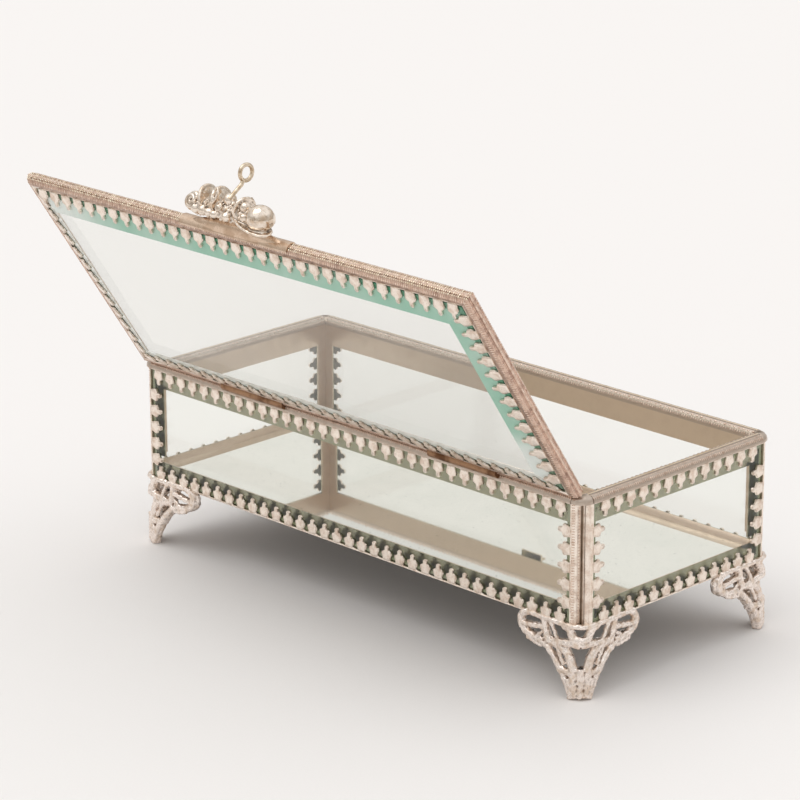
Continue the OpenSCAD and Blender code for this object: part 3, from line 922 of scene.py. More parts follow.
@dataclass(frozen=True)
class BeadRow:
    """A row of beads, ribs or dashes that a roller leaves along a rounded edge.

    Attributes:
        angles: Degrees round the edge from its outermost line, positive towards the outer face.
        pitch: Distance from one bead to the next, in millimetres.
        size: Length, width and height of a bead, in millimetres.
        uneven: How much smaller a bead may be than the rest.
        finish: The beads' finish.
        sink: How deep their feet lie under the surface.
    """

    angles: tuple[int, ...]
    pitch: float
    size: tuple[float, float, float]
    uneven: float
    finish: Finish = Finish.MILLED
    sink: float = 0.0


class Milling(Enum):
    """The rows on the strips."""

    RIBS = BeadRow((56,), 0.82, (0.52, 1.35, 0.2), 0.25)
    BEADS = BeadRow((31,), 0.95, (0.6, 0.5, 0.12), 0.4)
    INNER_BEADS = BeadRow((-36,), 1.9, (1.2, 0.75, 0.26), 0.35)
    INNER_RIBS = BeadRow((-62,), 0.95, (0.5, 1.0, 0.16), 0.25)
    SPARKLE = BeadRow((14, 31, -12, -30), 0.8, (0.66, 0.8, 0.2), 0.5, Finish.SPARKLE)
    UPRIGHT_RIDGES = BeadRow((22, 52), 0.8, (1.5, 0.55, 0.3), 0.0, Finish.STRIP, 0.1)
    UPRIGHT_BEADS = BeadRow((14,), 0.95, (0.75, 0.6, 0.24), 0.3)
    BOX_RIDGE = BeadRow((0,), 0.7, (1.4, 0.62, 0.18), 0.05, Finish.RIDGE, 0.12)
    LID_RIDGE = BeadRow((0,), 0.7, (1.4, 0.62, 0.3), 0.05, sink=0.12)


@dataclass
class StripWork:
    """All the gallery strips: their CAD solids, and the milling, beads and relief stamped on them.

    Attributes:
        stamper: What stamps the rows.
        top_roots, base_roots: Height of the prongs' roots on the top and base strips.
        base_rise: Rise of the base strips' flat edge.
        long_prongs, short_prongs, upright_prongs: Number of prongs on each kind of strip.
        side_drop: How far the uprights' prongs sit below mid height.
        flange_from: Distance from the roots beyond which a base strip is its plain flange.
        flange_trim: How much of that flange is trimmed off.
        lid_reach: Length of a prong on the lid, as a share of a plain one.
        worn_height: Height of the worn prongs' relief, as a share of the crisp ones'.
    """

    stamper: Stamper
    top_roots: float = TOP_Z - CROWN_H
    base_rise: float = 0.5
    base_roots: float = FOOT_H + base_rise
    long_prongs: int = 33
    short_prongs: int = 13
    upright_prongs: int = 5
    side_drop: float = 1.0
    flange_from: float = 7.0
    flange_trim: float = 2.2
    lid_reach: float = 1.08
    worn_height: float = 0.4
    bead: bpy.types.Object = field(init=False)
    prong: bpy.types.Object = field(init=False)

    def strips(self) -> dict[str, list[Strip]]:
        """Lays out every run of strip.

        Returns:
            The runs of each kind, in the order of the sides, with two uprights to a side.
        """
        runs: dict[str, list[Strip]] = {"top": [], "base": [], "upright": [], "lid": []}
        middle = Vector((0, MID_Y, 0))
        lid_middle = Vector((0, LID_BACK_Y - LID_W / 2, LID_TOP_Z))
        upright_mid = (self.base_roots + self.top_roots) / 2 - self.side_drop
        for side, (out, reach, span) in SIDES.items():
            is_long = span == CASKET_L
            count = self.long_prongs if is_long else self.short_prongs
            clear = span - 2 * STRIP_W
            face = middle + out * reach
            top = placed(-UP, out, face + UP * self.top_roots)
            runs["top"].append(Strip(BOX, top, clear, STRIP_W, CROWN_H, count))
            base = placed(UP, out, face + UP * self.base_roots)
            runs["base"].append(Strip(BOX, base, clear, STRIP_W, self.base_rise, count))
            across = UP.cross(out)
            for hand in (-1, 1):
                root = face + across * hand * clear / 2
                upright = placed(-across * hand, out, root + UP * upright_mid)
                runs["upright"].append(Strip(BOX, upright, UPRIGHT_TOP_Z - FOOT_H, STRIP_W, SIDE_CROWN_H,
                                             self.upright_prongs, milled=is_long))
            half_lid = (LID_W if is_long else LID_L) / 2
            shut = placed(-out, UP, lid_middle + out * (half_lid - CROWN_H))
            runs["lid"].append(Strip(LID, OPENED @ shut, LID_L if is_long else LID_W, LID_STRIP_W, CROWN_H,
                                     count, mitred=True))
        return runs

    def build(self) -> None:
        """Stamps every row and dresses the CAD strips."""
        runs = self.strips()
        self.bead, self.prong = bead_shape(), prong_shape()
        self.dress_box(runs["top"], runs["base"], runs["upright"])
        self.dress_lid(runs["lid"])
        for shape in (self.bead, self.prong):
            bpy.data.objects.remove(shape)
        for name, node in frame["nodes"].items():
            if name.startswith(("top_rail", "upright")):
                Shop.paint(node, Finish.RAIL)
        for side, strip in zip(SIDES, runs["lid"]):
            self.lean_rail(side, strip)
        for side, strip in zip(SIDES, runs["base"]):
            self.trim_flange(side, strip)

    def dress_box(self, top: list[Strip], base: list[Strip], uprights: list[Strip]) -> None:
        """Stamps the rows of the walls.

        Args:
            top: The strips along the walls' top.
            base: The strips along their foot.
            uprights: The strips at the corners.
        """
        milled = [s for s in uprights if s.milled]
        plain = [s for s in uprights if not s.milled]
        self.prongs("prong_relief_box", top + uprights)
        self.prongs("base_prong_relief", base, reach=BASE_PRONG_LEN / PRONG_LEN)
        self.beads("milled_ribs_box", Milling.RIBS.value, top + milled)
        self.beads("bead_row_box", Milling.BEADS.value, top)
        self.beads("inner_beads_box", Milling.INNER_BEADS.value, top)
        self.beads("inner_ribs_box", Milling.INNER_RIBS.value, top)
        self.beads("upright_ridges", Milling.UPRIGHT_RIDGES.value, plain)
        self.beads("upright_beads", Milling.UPRIGHT_BEADS.value, milled)
        self.beads("gilt_ridge_box", Milling.BOX_RIDGE.value, top)

    def dress_lid(self, rails: list[Strip]) -> None:
        """Stamps the rows of the lid, whose back and right strips are worn and whose front one glitters.

        Args:
            rails: The lid's strips, in the order of the sides.
        """
        front, others = rails[:1], rails[1:]
        self.prongs("prong_relief_lid", rails[::2], self.lid_reach)
        self.prongs("worn_prong_relief", rails[1::2], self.lid_reach, self.worn_height)
        self.beads("milled_ribs_lid", Milling.RIBS.value, rails)
        self.beads("bead_row_lid", Milling.BEADS.value, others)
        self.beads("inner_beads_lid", Milling.INNER_BEADS.value, others)
        for angle in Milling.SPARKLE.value.angles:
            row = replace(Milling.SPARKLE.value, angles=(angle,))
            self.beads(f"front_sparkle_{angle}", row, front)
        self.beads("inner_ribs_lid", Milling.INNER_RIBS.value, rails)
        self.beads("gilt_ridge_lid", Milling.LID_RIDGE.value, rails)

    def prongs(self, name: str, strips: Sequence[Strip], reach: float = 1.0, height: float = 1.0) -> None:
        """Stamps the relief of the prongs.

        Args:
            name: Name of the piece.
            strips: The strips, all of one body.
            reach, height: Length and height of the relief, as shares of the shape's own.
        """
        guides = [s.prong_line() for s in strips]
        row = self.stamper.row(name, guides, self.prong, PITCH, (1.0, reach, height), 0.0, Finish.STRIP)
        dressed(row, strips[0].body)

    def beads(self, name: str, kind: BeadRow, strips: Sequence[Strip]) -> None:
        """Stamps one kind of row on the rounded edges.

        Args:
            name: Name of the piece.
            kind: The row.
            strips: The strips, all of one body.
        """
        guides = [self.centred(s, s.edge_line(angle, -kind.sink)) for s in strips for angle in kind.angles]
        row = self.stamper.row(name, guides, self.bead, kind.pitch, kind.size, kind.uneven, kind.finish)
        dressed(row, strips[0].body)

    def centred(self, strip: Strip, guide: Guide) -> Guide:
        """Moves an upright's guide from about its prongs' middle to the middle of its web.

        Args:
            strip: The strip; only an upright's guide moves.
            guide: The guide.
        Returns:
            The same guide.
        """
        if strip.rise == SIDE_CROWN_H:
            shift = (FOOT_H + UPRIGHT_TOP_Z) / 2 - (guide.start.z + guide.end.z) / 2
            guide.start.z += shift
            guide.end.z += shift
        return guide

    def trim_flange(self, side: str, strip: Strip) -> None:
        """Trims the flange inside a base rail, so that the prongs' tips stand above it.

        Args:
            side: The wall's name.
            strip: Its base strip.
        """
        name = f"base_rail_{side}"
        bm = node_shape(name, strip.place)
        for v in bm.verts:
            if v.co.y > self.flange_from:
                v.co.y -= self.flange_trim
        bm.transform(strip.place)
        piece = mesh_from(f"gallery_{name}", bm, crease=35)
        dressed(piece, BOX, (Shop.get(Finish.RAIL),), [name])

    def lean_rail(self, side: str, strip: Strip) -> None:
        """Lays the prongs of one of the lid's rails onto the bevel of its glass.

        Args:
            side: The lid's side.
            strip: Its strip.
        """
        prong_from, prong_under, stretch, crown_from = 0.02, -0.65, 1.04, -0.3
        name = f"lid_rail_{side}"
        bm = node_shape(name, strip.place)
        for v in bm.verts:
            if v.co.y > prong_from and v.co.z > prong_under:
                v.co.y *= stretch
                v.co.z += v.co.y * math.tan(LID_SLOPE)
        for face in bm.faces:
            face.material_index = 1 if face.calc_center_median().y < crown_from else 0
        bm.transform(strip.place)
        piece = mesh_from(f"gallery_{name}", bm, crease=35)
        dressed(piece, LID, (Shop.get(Finish.STRIP), Shop.get(Finish.CROWN)), [name])


# ---------------------------------------------------------------- glass


@dataclass
class Panes:
    """The four wall panes, with the dull olive of cut glass and painted shade along their hidden edges.

    Attributes:
        rim: Width of the margin that shows the edge's colour and the painted shade.
        arris: Width of the ground arris.
    """

    rim: float = 1.35
    arris: float = 0.25

    def build(self) -> None:
        """Makes a pane for each CAD pane."""
        for side in SIDES:
            name = f"pane_{side}"
            lo, hi = (Vector(c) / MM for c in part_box(name))
            thin = 1 if side in ("front", "back") else 0
            wide = 1 - thin
            bm = bmesh.new()
            loops = []
            for depth, inset in self.section(hi[thin] - lo[thin]):
                corners = []
                for u, v in ((0, 0), (1, 0), (1, 1), (0, 1)):
                    p = Vector((0, 0, 0))
                    p[thin] = lo[thin] + depth
                    p[wide] = hi[wide] - inset if u else lo[wide] + inset
                    p.z = hi.z - inset if v else lo.z + inset
                    corners.append(bm.verts.new(p))
                loops.append(corners)
            # The margins round the faces show the cut edge's olive and painted shade
            for face in bridged(bm, loops):
                face.material_index = 1
            bm.faces.new(loops[0])
            bm.faces.new(loops[-1])
            piece = mesh_from(f"glass_{name}", bm, smooth=False)
            dressed(piece, BOX, (Shop.get(Finish.PANE), Shop.get(Finish.PANE_EDGE_AND_SHADE)), [name])

    def section(self, thick: float) -> list[tuple[float, float]]:
        """Depth and inset of each loop, from one face round the edge to the other."""
        return [(0, self.rim), (0, self.arris), (self.arris, 0), (thick - self.arris, 0),
                (thick, self.arris), (thick, self.rim)]


@dataclass
class LidGlass:
    """The lid's plate: flat below, with a wide bevel all round above.

    Attributes:
        edge_gap: Gap between its edge and the folds of the strips.
        edge_w: Distance from the folds to where the edge's own colour ends.
        bevel_w: Distance from the folds to the bevel's inner line.
        under_sheet: Depth of the bevel's outer line under the strips' top.
        lift: Height of its underside above the strips' underside.
    """

    edge_gap: float = 1.1
    edge_w: float = 2.9
    bevel_w: float = 8.0
    under_sheet: float = 0.72
    lift: float = 0.7

    def build(self) -> None:
        """Makes the plate closed and then opens it."""
        half = Vector((LID_L / 2 - CROWN_H, LID_W / 2 - CROWN_H))
        mid_y = LID_BACK_Y - LID_W / 2
        rings = [(self.edge_gap, LID_TOP_Z - LID_STRIP_W + self.lift)]
        rings += [(inset, LID_TOP_Z - self.under_sheet + inset * math.tan(LID_SLOPE))
                  for inset in (self.edge_gap, self.edge_w, self.bevel_w)]
        bm = bmesh.new()
        loops = [
            [
                bm.verts.new(OPENED @ Vector((sx * (half.x - inset), mid_y + sy * (half.y - inset), z)))
                for sx, sy in ((-1, -1), (1, -1), (1, 1), (-1, 1))
            ]
            for inset, z in rings
        ]
        # The last band's four faces are the bevel, and all the others are the edge
        bands = bridged(bm, loops)
        for face in bands[:-4]:
            face.material_index = 2
        for face in bands[-4:]:
            face.material_index = 1
        bm.faces.new(loops[0])
        bm.faces.new(loops[-1])
        piece = mesh_from("bevelled_lid_glass", bm, smooth=False)
        finishes = (Finish.LID_PANE, Finish.BEVEL, Finish.LID_EDGE)
        dressed(piece, LID, [Shop.get(f) for f in finishes], ["lid_glass"])


# ---------------------------------------------------------------- castings


def add_ball(bm: bmesh.types.BMesh, centre: Vector, radii: Vector, turn: Matrix | None = None,
             segments: int = 20) -> None:
    """Adds an ellipsoid.

    Args:
        bm: The shape that gets the ellipsoid.
        centre: Its centre.
        radii: Its radii.
        turn: How it is turned about its centre.
        segments: Segments round it.
    """
    matrix = Matrix.Translation(centre) @ (turn or Matrix.Identity(4)) @ Matrix.Diagonal(radii).to_4x4()
    bmesh.ops.create_uvsphere(bm, u_segments=segments, v_segments=segments // 2, radius=1, matrix=matrix)


def add_tube(bm: bmesh.types.BMesh, points: Sequence[Vector], radii: Sequence[float],
             closed: bool = False, sides: int = 8) -> None:
    """Adds a tube along points, with a round section whose radius may change.

    Args:
        bm: The shape that gets the tube.
        points: The points along it.
        radii: Its radius at each point, or one radius for all.
        closed: Whether it joins its own start.
        sides: Sides of its section.
    """
    count = len(points)
    radii = list(radii) * count if len(radii) == 1 else radii
    loops = []
    side = None
    for i, p in enumerate(points):
        ahead = points[(i + 1) % count] if closed else points[min(i + 1, count - 1)]
        behind = points[i - 1] if closed or i else points[0]
        way = (ahead - behind).normalized()
        if side is None:
            side = way.orthogonal().normalized()
        side = (side - way * side.dot(way)).normalized()
        other = way.cross(side)
        loops.append([
            bm.verts.new(p + (side * math.cos(t) + other * math.sin(t)) * radii[i])
            for t in around(sides)
        ])
    bridged(bm, [*loops, loops[0]] if closed else loops)
    if not closed:
        bm.faces.new(list(reversed(loops[0])))
        bm.faces.new(loops[-1])


def fused(name: str, bm: bmesh.types.BMesh, voxel: float, smooth: int) -> bpy.types.Object:
    """Fuses overlapping shapes into one skin, as wax parts are before casting.

    Args:
        name: The piece's name.
        bm: The shapes, in millimetres.
        voxel: Size of the grid that they are fused on.
        smooth: Times that the skin is smoothed.
    Returns:
        The piece, as a plain mesh.
    """
    piece = link_object(name, metre_mesh(name, bm))
    remesh = piece.modifiers.new("fuse", "REMESH")
    remesh.mode = "VOXEL"
    remesh.voxel_size = voxel * MM
    relax = piece.modifiers.new("relax", "SMOOTH")
    relax.iterations = smooth
    return baked(piece)


def roughened(piece: bpy.types.Object, amount: float, size: float, seed: float = 0.0) -> None:
    """Moves a casting's skin in and out a little, as sand and wear leave it.

    Args:
        piece: The piece.
        amount: Height of the marks, in millimetres.
        size: Distance between marks, in millimetres.
        seed: Place in the noise, so that two castings differ.
    """
    worn_down = 0.15  # wear takes off a little more than casting adds
    mesh = piece.data
    spots = [(v.co.copy(), v.normal.copy()) for v in mesh.vertices]
    moved = []
    for place, normal in spots:
        height = noise.noise(place / (size * MM) + Vector((seed, 0, 0))) - worn_down
        moved.extend(place + normal * height * amount * MM)
    mesh.vertices.foreach_set("co", moved)
    mesh.update()
    mesh.shade_smooth()


@dataclass
class CastFeet:
    """Four cast openwork feet of crossing vines, each wrapped round a corner under a corded rim.

    The vines are drawn flat, as seen from the corner. Each is drawn once and mirrored to the other
    wing.

    Attributes:
        voxel: Size of the grid that a foot is fused on.
        face: Distance of a foot's face outside the casket's walls.
        bend: Radius of its bend round the corner.
        rim_half: Half the length of its rim, as seen from the corner.
        rim_lift: Height of the rim's middle above the foot.
        rim_radius: Radius of the rim.
        backed_from: Radius above which a vine is backed by a thinner one.
        backing_depth: How much deeper the backing lies.
        backing_share: Radius of the backing, as a share of the vine's.
        vines: The points of each vine, as distance sideways from the corner and height, and its
            radius.
    """

    voxel: float = 0.3
    face: float = 0.86
    bend: float = 6.0
    rim_half: float = 17.0
    rim_lift: float = 0.1
    rim_radius: float = 0.95
    backed_from: float = 0.9
    backing_depth: float = 0.9
    backing_share: float = 0.8
    vines: tuple[tuple[tuple[tuple[float, float], ...], float], ...] = (
        (((15.2, 23.7), (16.5, 22.7), (17.2, 20.6), (16.7, 18.3), (15.0, 16.9), (13.0, 16.3),
          (10.5, 15.9)), 1.45),
        (((17.2, 19.7), (15.8, 19.7), (13.6, 20.1), (11.7, 20.5), (10.0, 20.6)), 0.95),
        (((10.8, 23.8), (10.3, 22.5), (10.0, 20.3), (9.5, 18.2), (8.9, 16.3)), 1.35),
        (((10.5, 15.6), (8.3, 13.1), (6.6, 10.4), (5.2, 7.9), (4.0, 5.1), (3.2, 2.7), (2.6, 0.3)), 1.25),
        (((9.3, 17.0), (6.9, 16.4), (4.6, 15.6), (3.3, 13.6), (2.6, 11.4), (1.8, 9.2)), 1.55),
        (((7.6, 17.0), (5.2, 17.4), (2.8, 18.0), (0.0, 17.6)), 1.35),
        (((4.8, 23.1), (3.2, 22.6), (2.7, 21.0), (1.9, 19.6), (0.0, 19.0)), 1.45),
        (((6.5, 9.0), (4.5, 8.7), (2.3, 8.3)), 1.2),
        (((2.2, 9.6), (2.2, 6.9), (1.9, 4.2), (1.6, 0.6)), 1.3),
        (((3.5, 6.7), (2.8, 3.2), (2.2, 0.6)), 1.1),
        (((0.0, 10.3), (0.0, 7.5), (0.0, 5.4)), 1.5),
        (((0.0, 5.8), (0.0, 3.0), (0.0, 0.7)), 1.15),
        (((14.8, 23.7), (12.6, 23.8), (11.0, 23.7)), 1.0),
        (((8.9, 23.2), (8.2, 21.9), (7.4, 19.9), (6.6, 17.8)), 0.7),
        (((13.0, 16.9), (12.2, 18.0), (11.4, 18.6)), 0.6),
        (((6.6, 15.2), (5.9, 13.2), (4.9, 10.6)), 0.7),
        (((15.6, 15.7), (13.4, 14.9), (11.2, 14.5)), 0.75),
    )

    def on_face(self, across: float, z: float, under: float) -> Vector:
        """Finds a point under the foot's bent face.

        Args:
            across: Distance sideways from the corner, as seen from the corner.
            z: Height above the ground.
            under: Distance below the face.
        Returns:
            The point, with the corner at 0, 0 and the wings along +X and +Y.
        """
        flat_from = self.bend / math.sqrt(2)
        if abs(across) < flat_from:
            depth = math.sqrt(2) * (self.bend - self.face) - math.sqrt(self.bend**2 - across**2)
        else:
            depth = abs(across) - math.sqrt(2) * self.face
        depth += under * (1 + (math.sqrt(2) - 1) * min(1.0, abs(across) / flat_from))
        return Vector(((across + depth) / math.sqrt(2), (depth - across) / math.sqrt(2), z))

    def smooth_path(self, points: Sequence[tuple[float, float]]) -> list[tuple[float, float]]:
        """Rounds a path off with a Catmull-Rom curve through its points.

        Args:
            points: The path's points.
        Returns:
            The rounded path, with four steps from each point to the next.
        """
        ends = [points[0], *points, points[-1]]
        path = []
        for a, b, c, d in zip(ends, ends[1:], ends[2:], ends[3:]):
            for t in (0.0, 0.25, 0.5, 0.75):
                path.append(tuple(
                    0.5 * (2 * b[i] + (c[i] - a[i]) * t + (2 * a[i] - 5 * b[i] + 4 * c[i] - d[i]) * t**2
                           + (3 * b[i] - a[i] - 3 * c[i] + d[i]) * t**3)
                    for i in (0, 1)
                ))
        return path + [points[-1]]

    def build(self) -> None:
        """Casts one foot and turns it to the other corners."""
        master = self.cast()
        for sx, sy, name in CORNERS:
            mesh = master.data.copy()
            turn = Matrix.Diagonal((-sx, -sy, 1, 1))
            place = Matrix.Translation(Vector((sx * CASKET_L / 2, MID_Y + sy * CASKET_W / 2, 0)) * MM)
            mesh.transform(place @ turn)
            if sx * sy < 0:
                mesh.flip_normals()
            piece = link_object(f"openwork_foot_{name}", mesh)
            roughened(piece, amount=0.24, size=0.95, seed=sx * 3.1 + sy)
            for v in mesh.vertices:
                v.co.z = max(v.co.z, 0.0)
            dressed(piece, BOX, (Shop.get(Finish.CAST),), [f"foot_{name}"])
        bpy.data.objects.remove(master)

    def cast(self) -> bpy.types.Object:
        """Fuses the vines and the rim of one foot.

        Returns:
            The foot, with its corner at the origin.
        """
        bm = bmesh.new()
        for path, radius in self.vines:
            flat = self.smooth_path(path)
            tubes = [(radius, radius)]
            if radius > self.backed_from:
                tubes.append((radius + self.backing_depth, radius * self.backing_share))
            for hand in (-1, 1):
                for under, thick in tubes:
                    add_tube(bm, [self.on_face(hand * h, z, under) for h, z in flat], [thick])
        rim = [
            self.on_face(self.rim_half * (i / 24 - 1), FOOT_H + self.rim_lift, self.rim_radius)
            for i in range(49)
        ]
        add_tube(bm, rim, [self.rim_radius])
        return fused("cast_foot", bm, self.voxel, smooth=1)


@dataclass
class Ornament:
    """The cast ornament on the lid's free edge: a scroll, leaves, knobs and a dome on an oval rim.

    Attributes:
        out: How far its middle lies in front of the closed lid's edge.
        drop: How far its middle lies under the closed lid's top.
        voxel: Size of the grid that it is fused on.
        petals: Each leaf's middle along the lid and up its face, its radii and its lean in degrees.
        knobs: Each ball's centre and radius.
        strings: Places along the lid of the strings of beads.
    """

    out: float = 5.25
    drop: float = 5.65
    voxel: float = 0.26
    petals: tuple[tuple[float, ...], ...] = (
        (12.0, 1.7, 2.0, 4.3, 4.2, -14),
        (6.4, 1.9, 2.3, 4.3, 4.4, -8),
        (-3.9, 1.3, 1.9, 3.7, 4.0, 16),
    )
    knobs: tuple[tuple[float, float, float, float], ...] = (
        (1.2, 2.9, -1.6, 2.1), (-6.4, 1.8, -2.0, 1.8), (-8.6, -1.3, -3.7, 1.3), (10.2, -2.2, -2.6, 1.7),
        (7.1, -2.4, -3.0, 1.4), (4.9, -2.6, -2.8, 1.3), (-0.6, -2.4, -2.8, 1.6), (14.4, -2.2, -1.8, 1.5),
    )
    strings: tuple[float, ...] = (14.3, 9.4, 3.6, -0.9, -5.9)

    def axes(self) -> Matrix:
        """Sets up its own axes when the lid is open.

        Returns:
            The axes: x along the lid, y up its face, and z towards the front, so that the side that
            is carved faces -z.
        """
        middle = OPENED @ Vector((0, LID_FRONT_Y - self.out, LID_TOP_Z - self.drop))
        up = Vector((0, -0.4215, 0.907)).normalized()
        x = Vector((1, 0, 0))
        matrix = Matrix((x, up, x.cross(up))).transposed().to_4x4()
        matrix.translation = middle
        return matrix

    def build(self) -> None:
        """Builds the ornament from balls, tubes and petals, and fuses them."""
        bm = bmesh.new()
        self.scroll(bm, Vector((17.3, -0.1, -1.6)), radius=3.5, turns=1.9, thick=0.85)
        add_tube(bm, [Vector((x, -0.6, 0)) for x in (16.5, 8, 0, -9)], [2.5, 2.8, 2.9, 3.0], sides=16)
        for x, y, *radii, lean in self.petals:
            self.petal(bm, Vector((x, y, 0)), Vector(radii), lean)
        self.ring(bm, Vector((6.3, 2.6, -3.9)), a=1.3, b=2.6, thick=0.45, lean=12)
        self.scroll(bm, Vector((2.9, -0.3, -3.9)), radius=1.7, turns=1.3, thick=0.55)
        for x, y, z, r in self.knobs:
            add_ball(bm, Vector((x, y, z)), Vector((r, r, r)))
        for x in self.strings:
            self.beads(bm, x)
        add_ball(bm, Vector((-12.5, -0.2, -0.6)), Vector((4.5, 4.3, 4.5)), segments=32)
        self.rim(bm)
        bm.transform(self.axes())
        piece = fused("cast_finial", bm, self.voxel, smooth=1)
        roughened(piece, amount=0.08, size=1.1)
        self.clear_of_wall(piece)
        dressed(piece, LID, (Shop.get(Finish.ORNAMENT),), ["finial"])
        self.saddle()

    def clear_of_wall(self, piece: bpy.types.Object) -> None:
        """Presses its plain side flat, so that the closed lid clears the front wall and the keeper.

        Args:
            piece: The ornament.
        """
        over_top, wall_gap = 0.4, 0.5
        keeper_half, keeper_top, keeper_reach = 5.0, 62.3, 3.8
        front = MID_Y - CASKET_W / 2 - wall_gap
        keeper_front = front - keeper_reach
        closed = OPENED.inverted()
        for vertex in piece.data.vertices:
            spot = closed @ (vertex.co / MM)
            if spot.z > TOP_Z + over_top:
                continue
            over_keeper = abs(spot.x) < keeper_half and spot.z < keeper_top
            limit = keeper_front if over_keeper else front
            if spot.y > limit:
                spot.y = limit
                vertex.co = (OPENED @ spot) * MM
        piece.data.update()

    def saddle(self) -> None:
        """Builds the smooth hump of sheet that carries the ornament on the free edge."""
        half, steps, shift, fullness = 19.5, 32, 1.0, 0.7
        # Its section at its ends and at its middle: distance behind the lid's edge, and height
        root = (1.9, -0.12), (0.55, -0.75), (-0.5, -2.4), (0.55, -4.05)
        crest = (1.9, -0.12), (0.1, -0.5), (-2.9, -3.6), (-0.6, -4.5)
        bm = bmesh.new()
        loops = []
        for i in range(steps + 1):
            x = half * (2 * i / steps - 1)
            swell = (1 - (x / half) ** 2) ** fullness
            loops.append([
                bm.verts.new(OPENED @ Vector((x - shift, LID_FRONT_Y + a[0] + (b[0] - a[0]) * swell,
                                              LID_TOP_Z + a[1] + (b[1] - a[1]) * swell)))
                for a, b in zip(root, crest)
            ])
        bridged(bm, loops)
        bm.faces.new(loops[0])
        bm.faces.new(loops[-1])
        bmesh.ops.subdivide_edges(bm, edges=bm.edges, cuts=1, use_grid_fill=True, smooth=0.6)
        piece = mesh_from("ornament_saddle", bm)
        dressed(piece, LID, (Shop.get(Finish.PLATE),))

    def scroll(self, bm: bmesh.types.BMesh, centre: Vector, radius: float, turns: float,
               thick: float) -> None:
        """Adds a spiral scroll whose face is turned to the back, on a thin backing disc.

        Args:
            bm: The shape that gets the scroll.
            centre: Its centre.
            radius: Its outer radius.
            turns: Number of its turns.
            thick: Radius of its cord at the outer end.
        """
        steps, start, close_in, taper, rise = 40, 0.6, 0.92, 0.35, 0.5
        disc_back, disc_share, disc_thick = 0.9, 0.9, 1.1
        points, radii = [], []
        for i in range(steps + 1):
            share = i / steps
            r = (radius - thick) * (1 - share * close_in)
            a = 2 * math.pi * turns * share + math.pi * start
            points.append(centre + Vector((r * math.cos(a), r * math.sin(a), -rise * share)))
            radii.append(thick * (1 - taper * share))
        add_tube(bm, points, radii)
        disc = Vector((radius * disc_share, radius * disc_share, disc_thick))
        add_ball(bm, centre + Vector((0, 0, disc_back)), disc)

    def petal(self, bm: bmesh.types.BMesh, centre: Vector, radii: Vector, lean: float) -> None:
        """Adds a leaf that wraps the body, with a rolled rim.

        Args:
            bm: The shape that gets the leaf.
            centre: Its centre.
            radii: Its radii along, up and across the body.
            lean: Degrees that it leans along the body.
        """
        body_share, rim_share, rim_thick = 0.55, 0.97, 0.6
        turn = Matrix.Rotation(math.radians(lean), 4, "Z")
        add_ball(bm, centre, Vector((radii.x * body_share, radii.y, radii.z)), turn)
        self.ring(bm, centre, radii.y * rim_share, radii.z * rim_share, rim_thick, lean, across=True)

    def ring(self, bm: bmesh.types.BMesh, centre: Vector, a: float, b: float, thick: float, lean: float,
             across: bool = False) -> None:
        """Adds an oval ring, seen face on, or wrapped across the body.

        Args:
            bm: The shape that gets the ring.
            centre: Its centre.
            a, b: Its radii.
            thick: Radius of its cord.
            lean: Degrees that it leans along the body.
            across: Whether it is wrapped across the body.
        """
        turn = Matrix.Rotation(math.radians(lean), 3, "Z")
        points = []
        for t in around(24):
            if across:
                p = Vector((0, a * math.sin(t), b * math.cos(t)))
            else:
                p = Vector((a * math.cos(t), b * math.sin(t), 0))
            points.append(centre + turn @ p)
        add_tube(bm, points, [thick], closed=True)

    def beads(self, bm: bmesh.types.BMesh, x: float) -> None:
        """Adds a string of small beads round the body.

        Args:
            bm: The shape that gets the beads.
            x: Their place along the body.
        """
        reach, bead, drop = 3.1, 0.6, 0.4
        for t in around(14):
            centre = Vector((x, reach * math.sin(t) - drop, reach * math.cos(t)))
            add_ball(bm, centre, Vector((bead, bead, bead)), segments=8)

    def rim(self, bm: bmesh.types.BMesh) -> None:
        """Adds the thin oval rim that the dome stands in, with smaller ovals that fill it.

        Args:
            bm: The shape that gets the rim.
        """
        tilt, dip, half_long, half_short = 0.222, 0.61, 7.9, 3.9
        centre = Vector((-9.6, -2.5, -0.1))
        along = Vector((math.cos(tilt), math.sin(tilt), 0))
        across = Vector((0, -math.sin(dip), -math.cos(dip)))
        points = [
            centre + along * half_long * math.cos(t) + across * half_short * math.sin(t)
            for t in around(40)
        ]
        for share, thick in ((1.0, 0.45), (0.9, 0.35), (0.75, 0.4), (0.55, 0.4), (0.3, 0.4)):
            add_tube(bm, [centre + (p - centre) * share for p in points], [thick], closed=True)


# ---------------------------------------------------------------- the rest


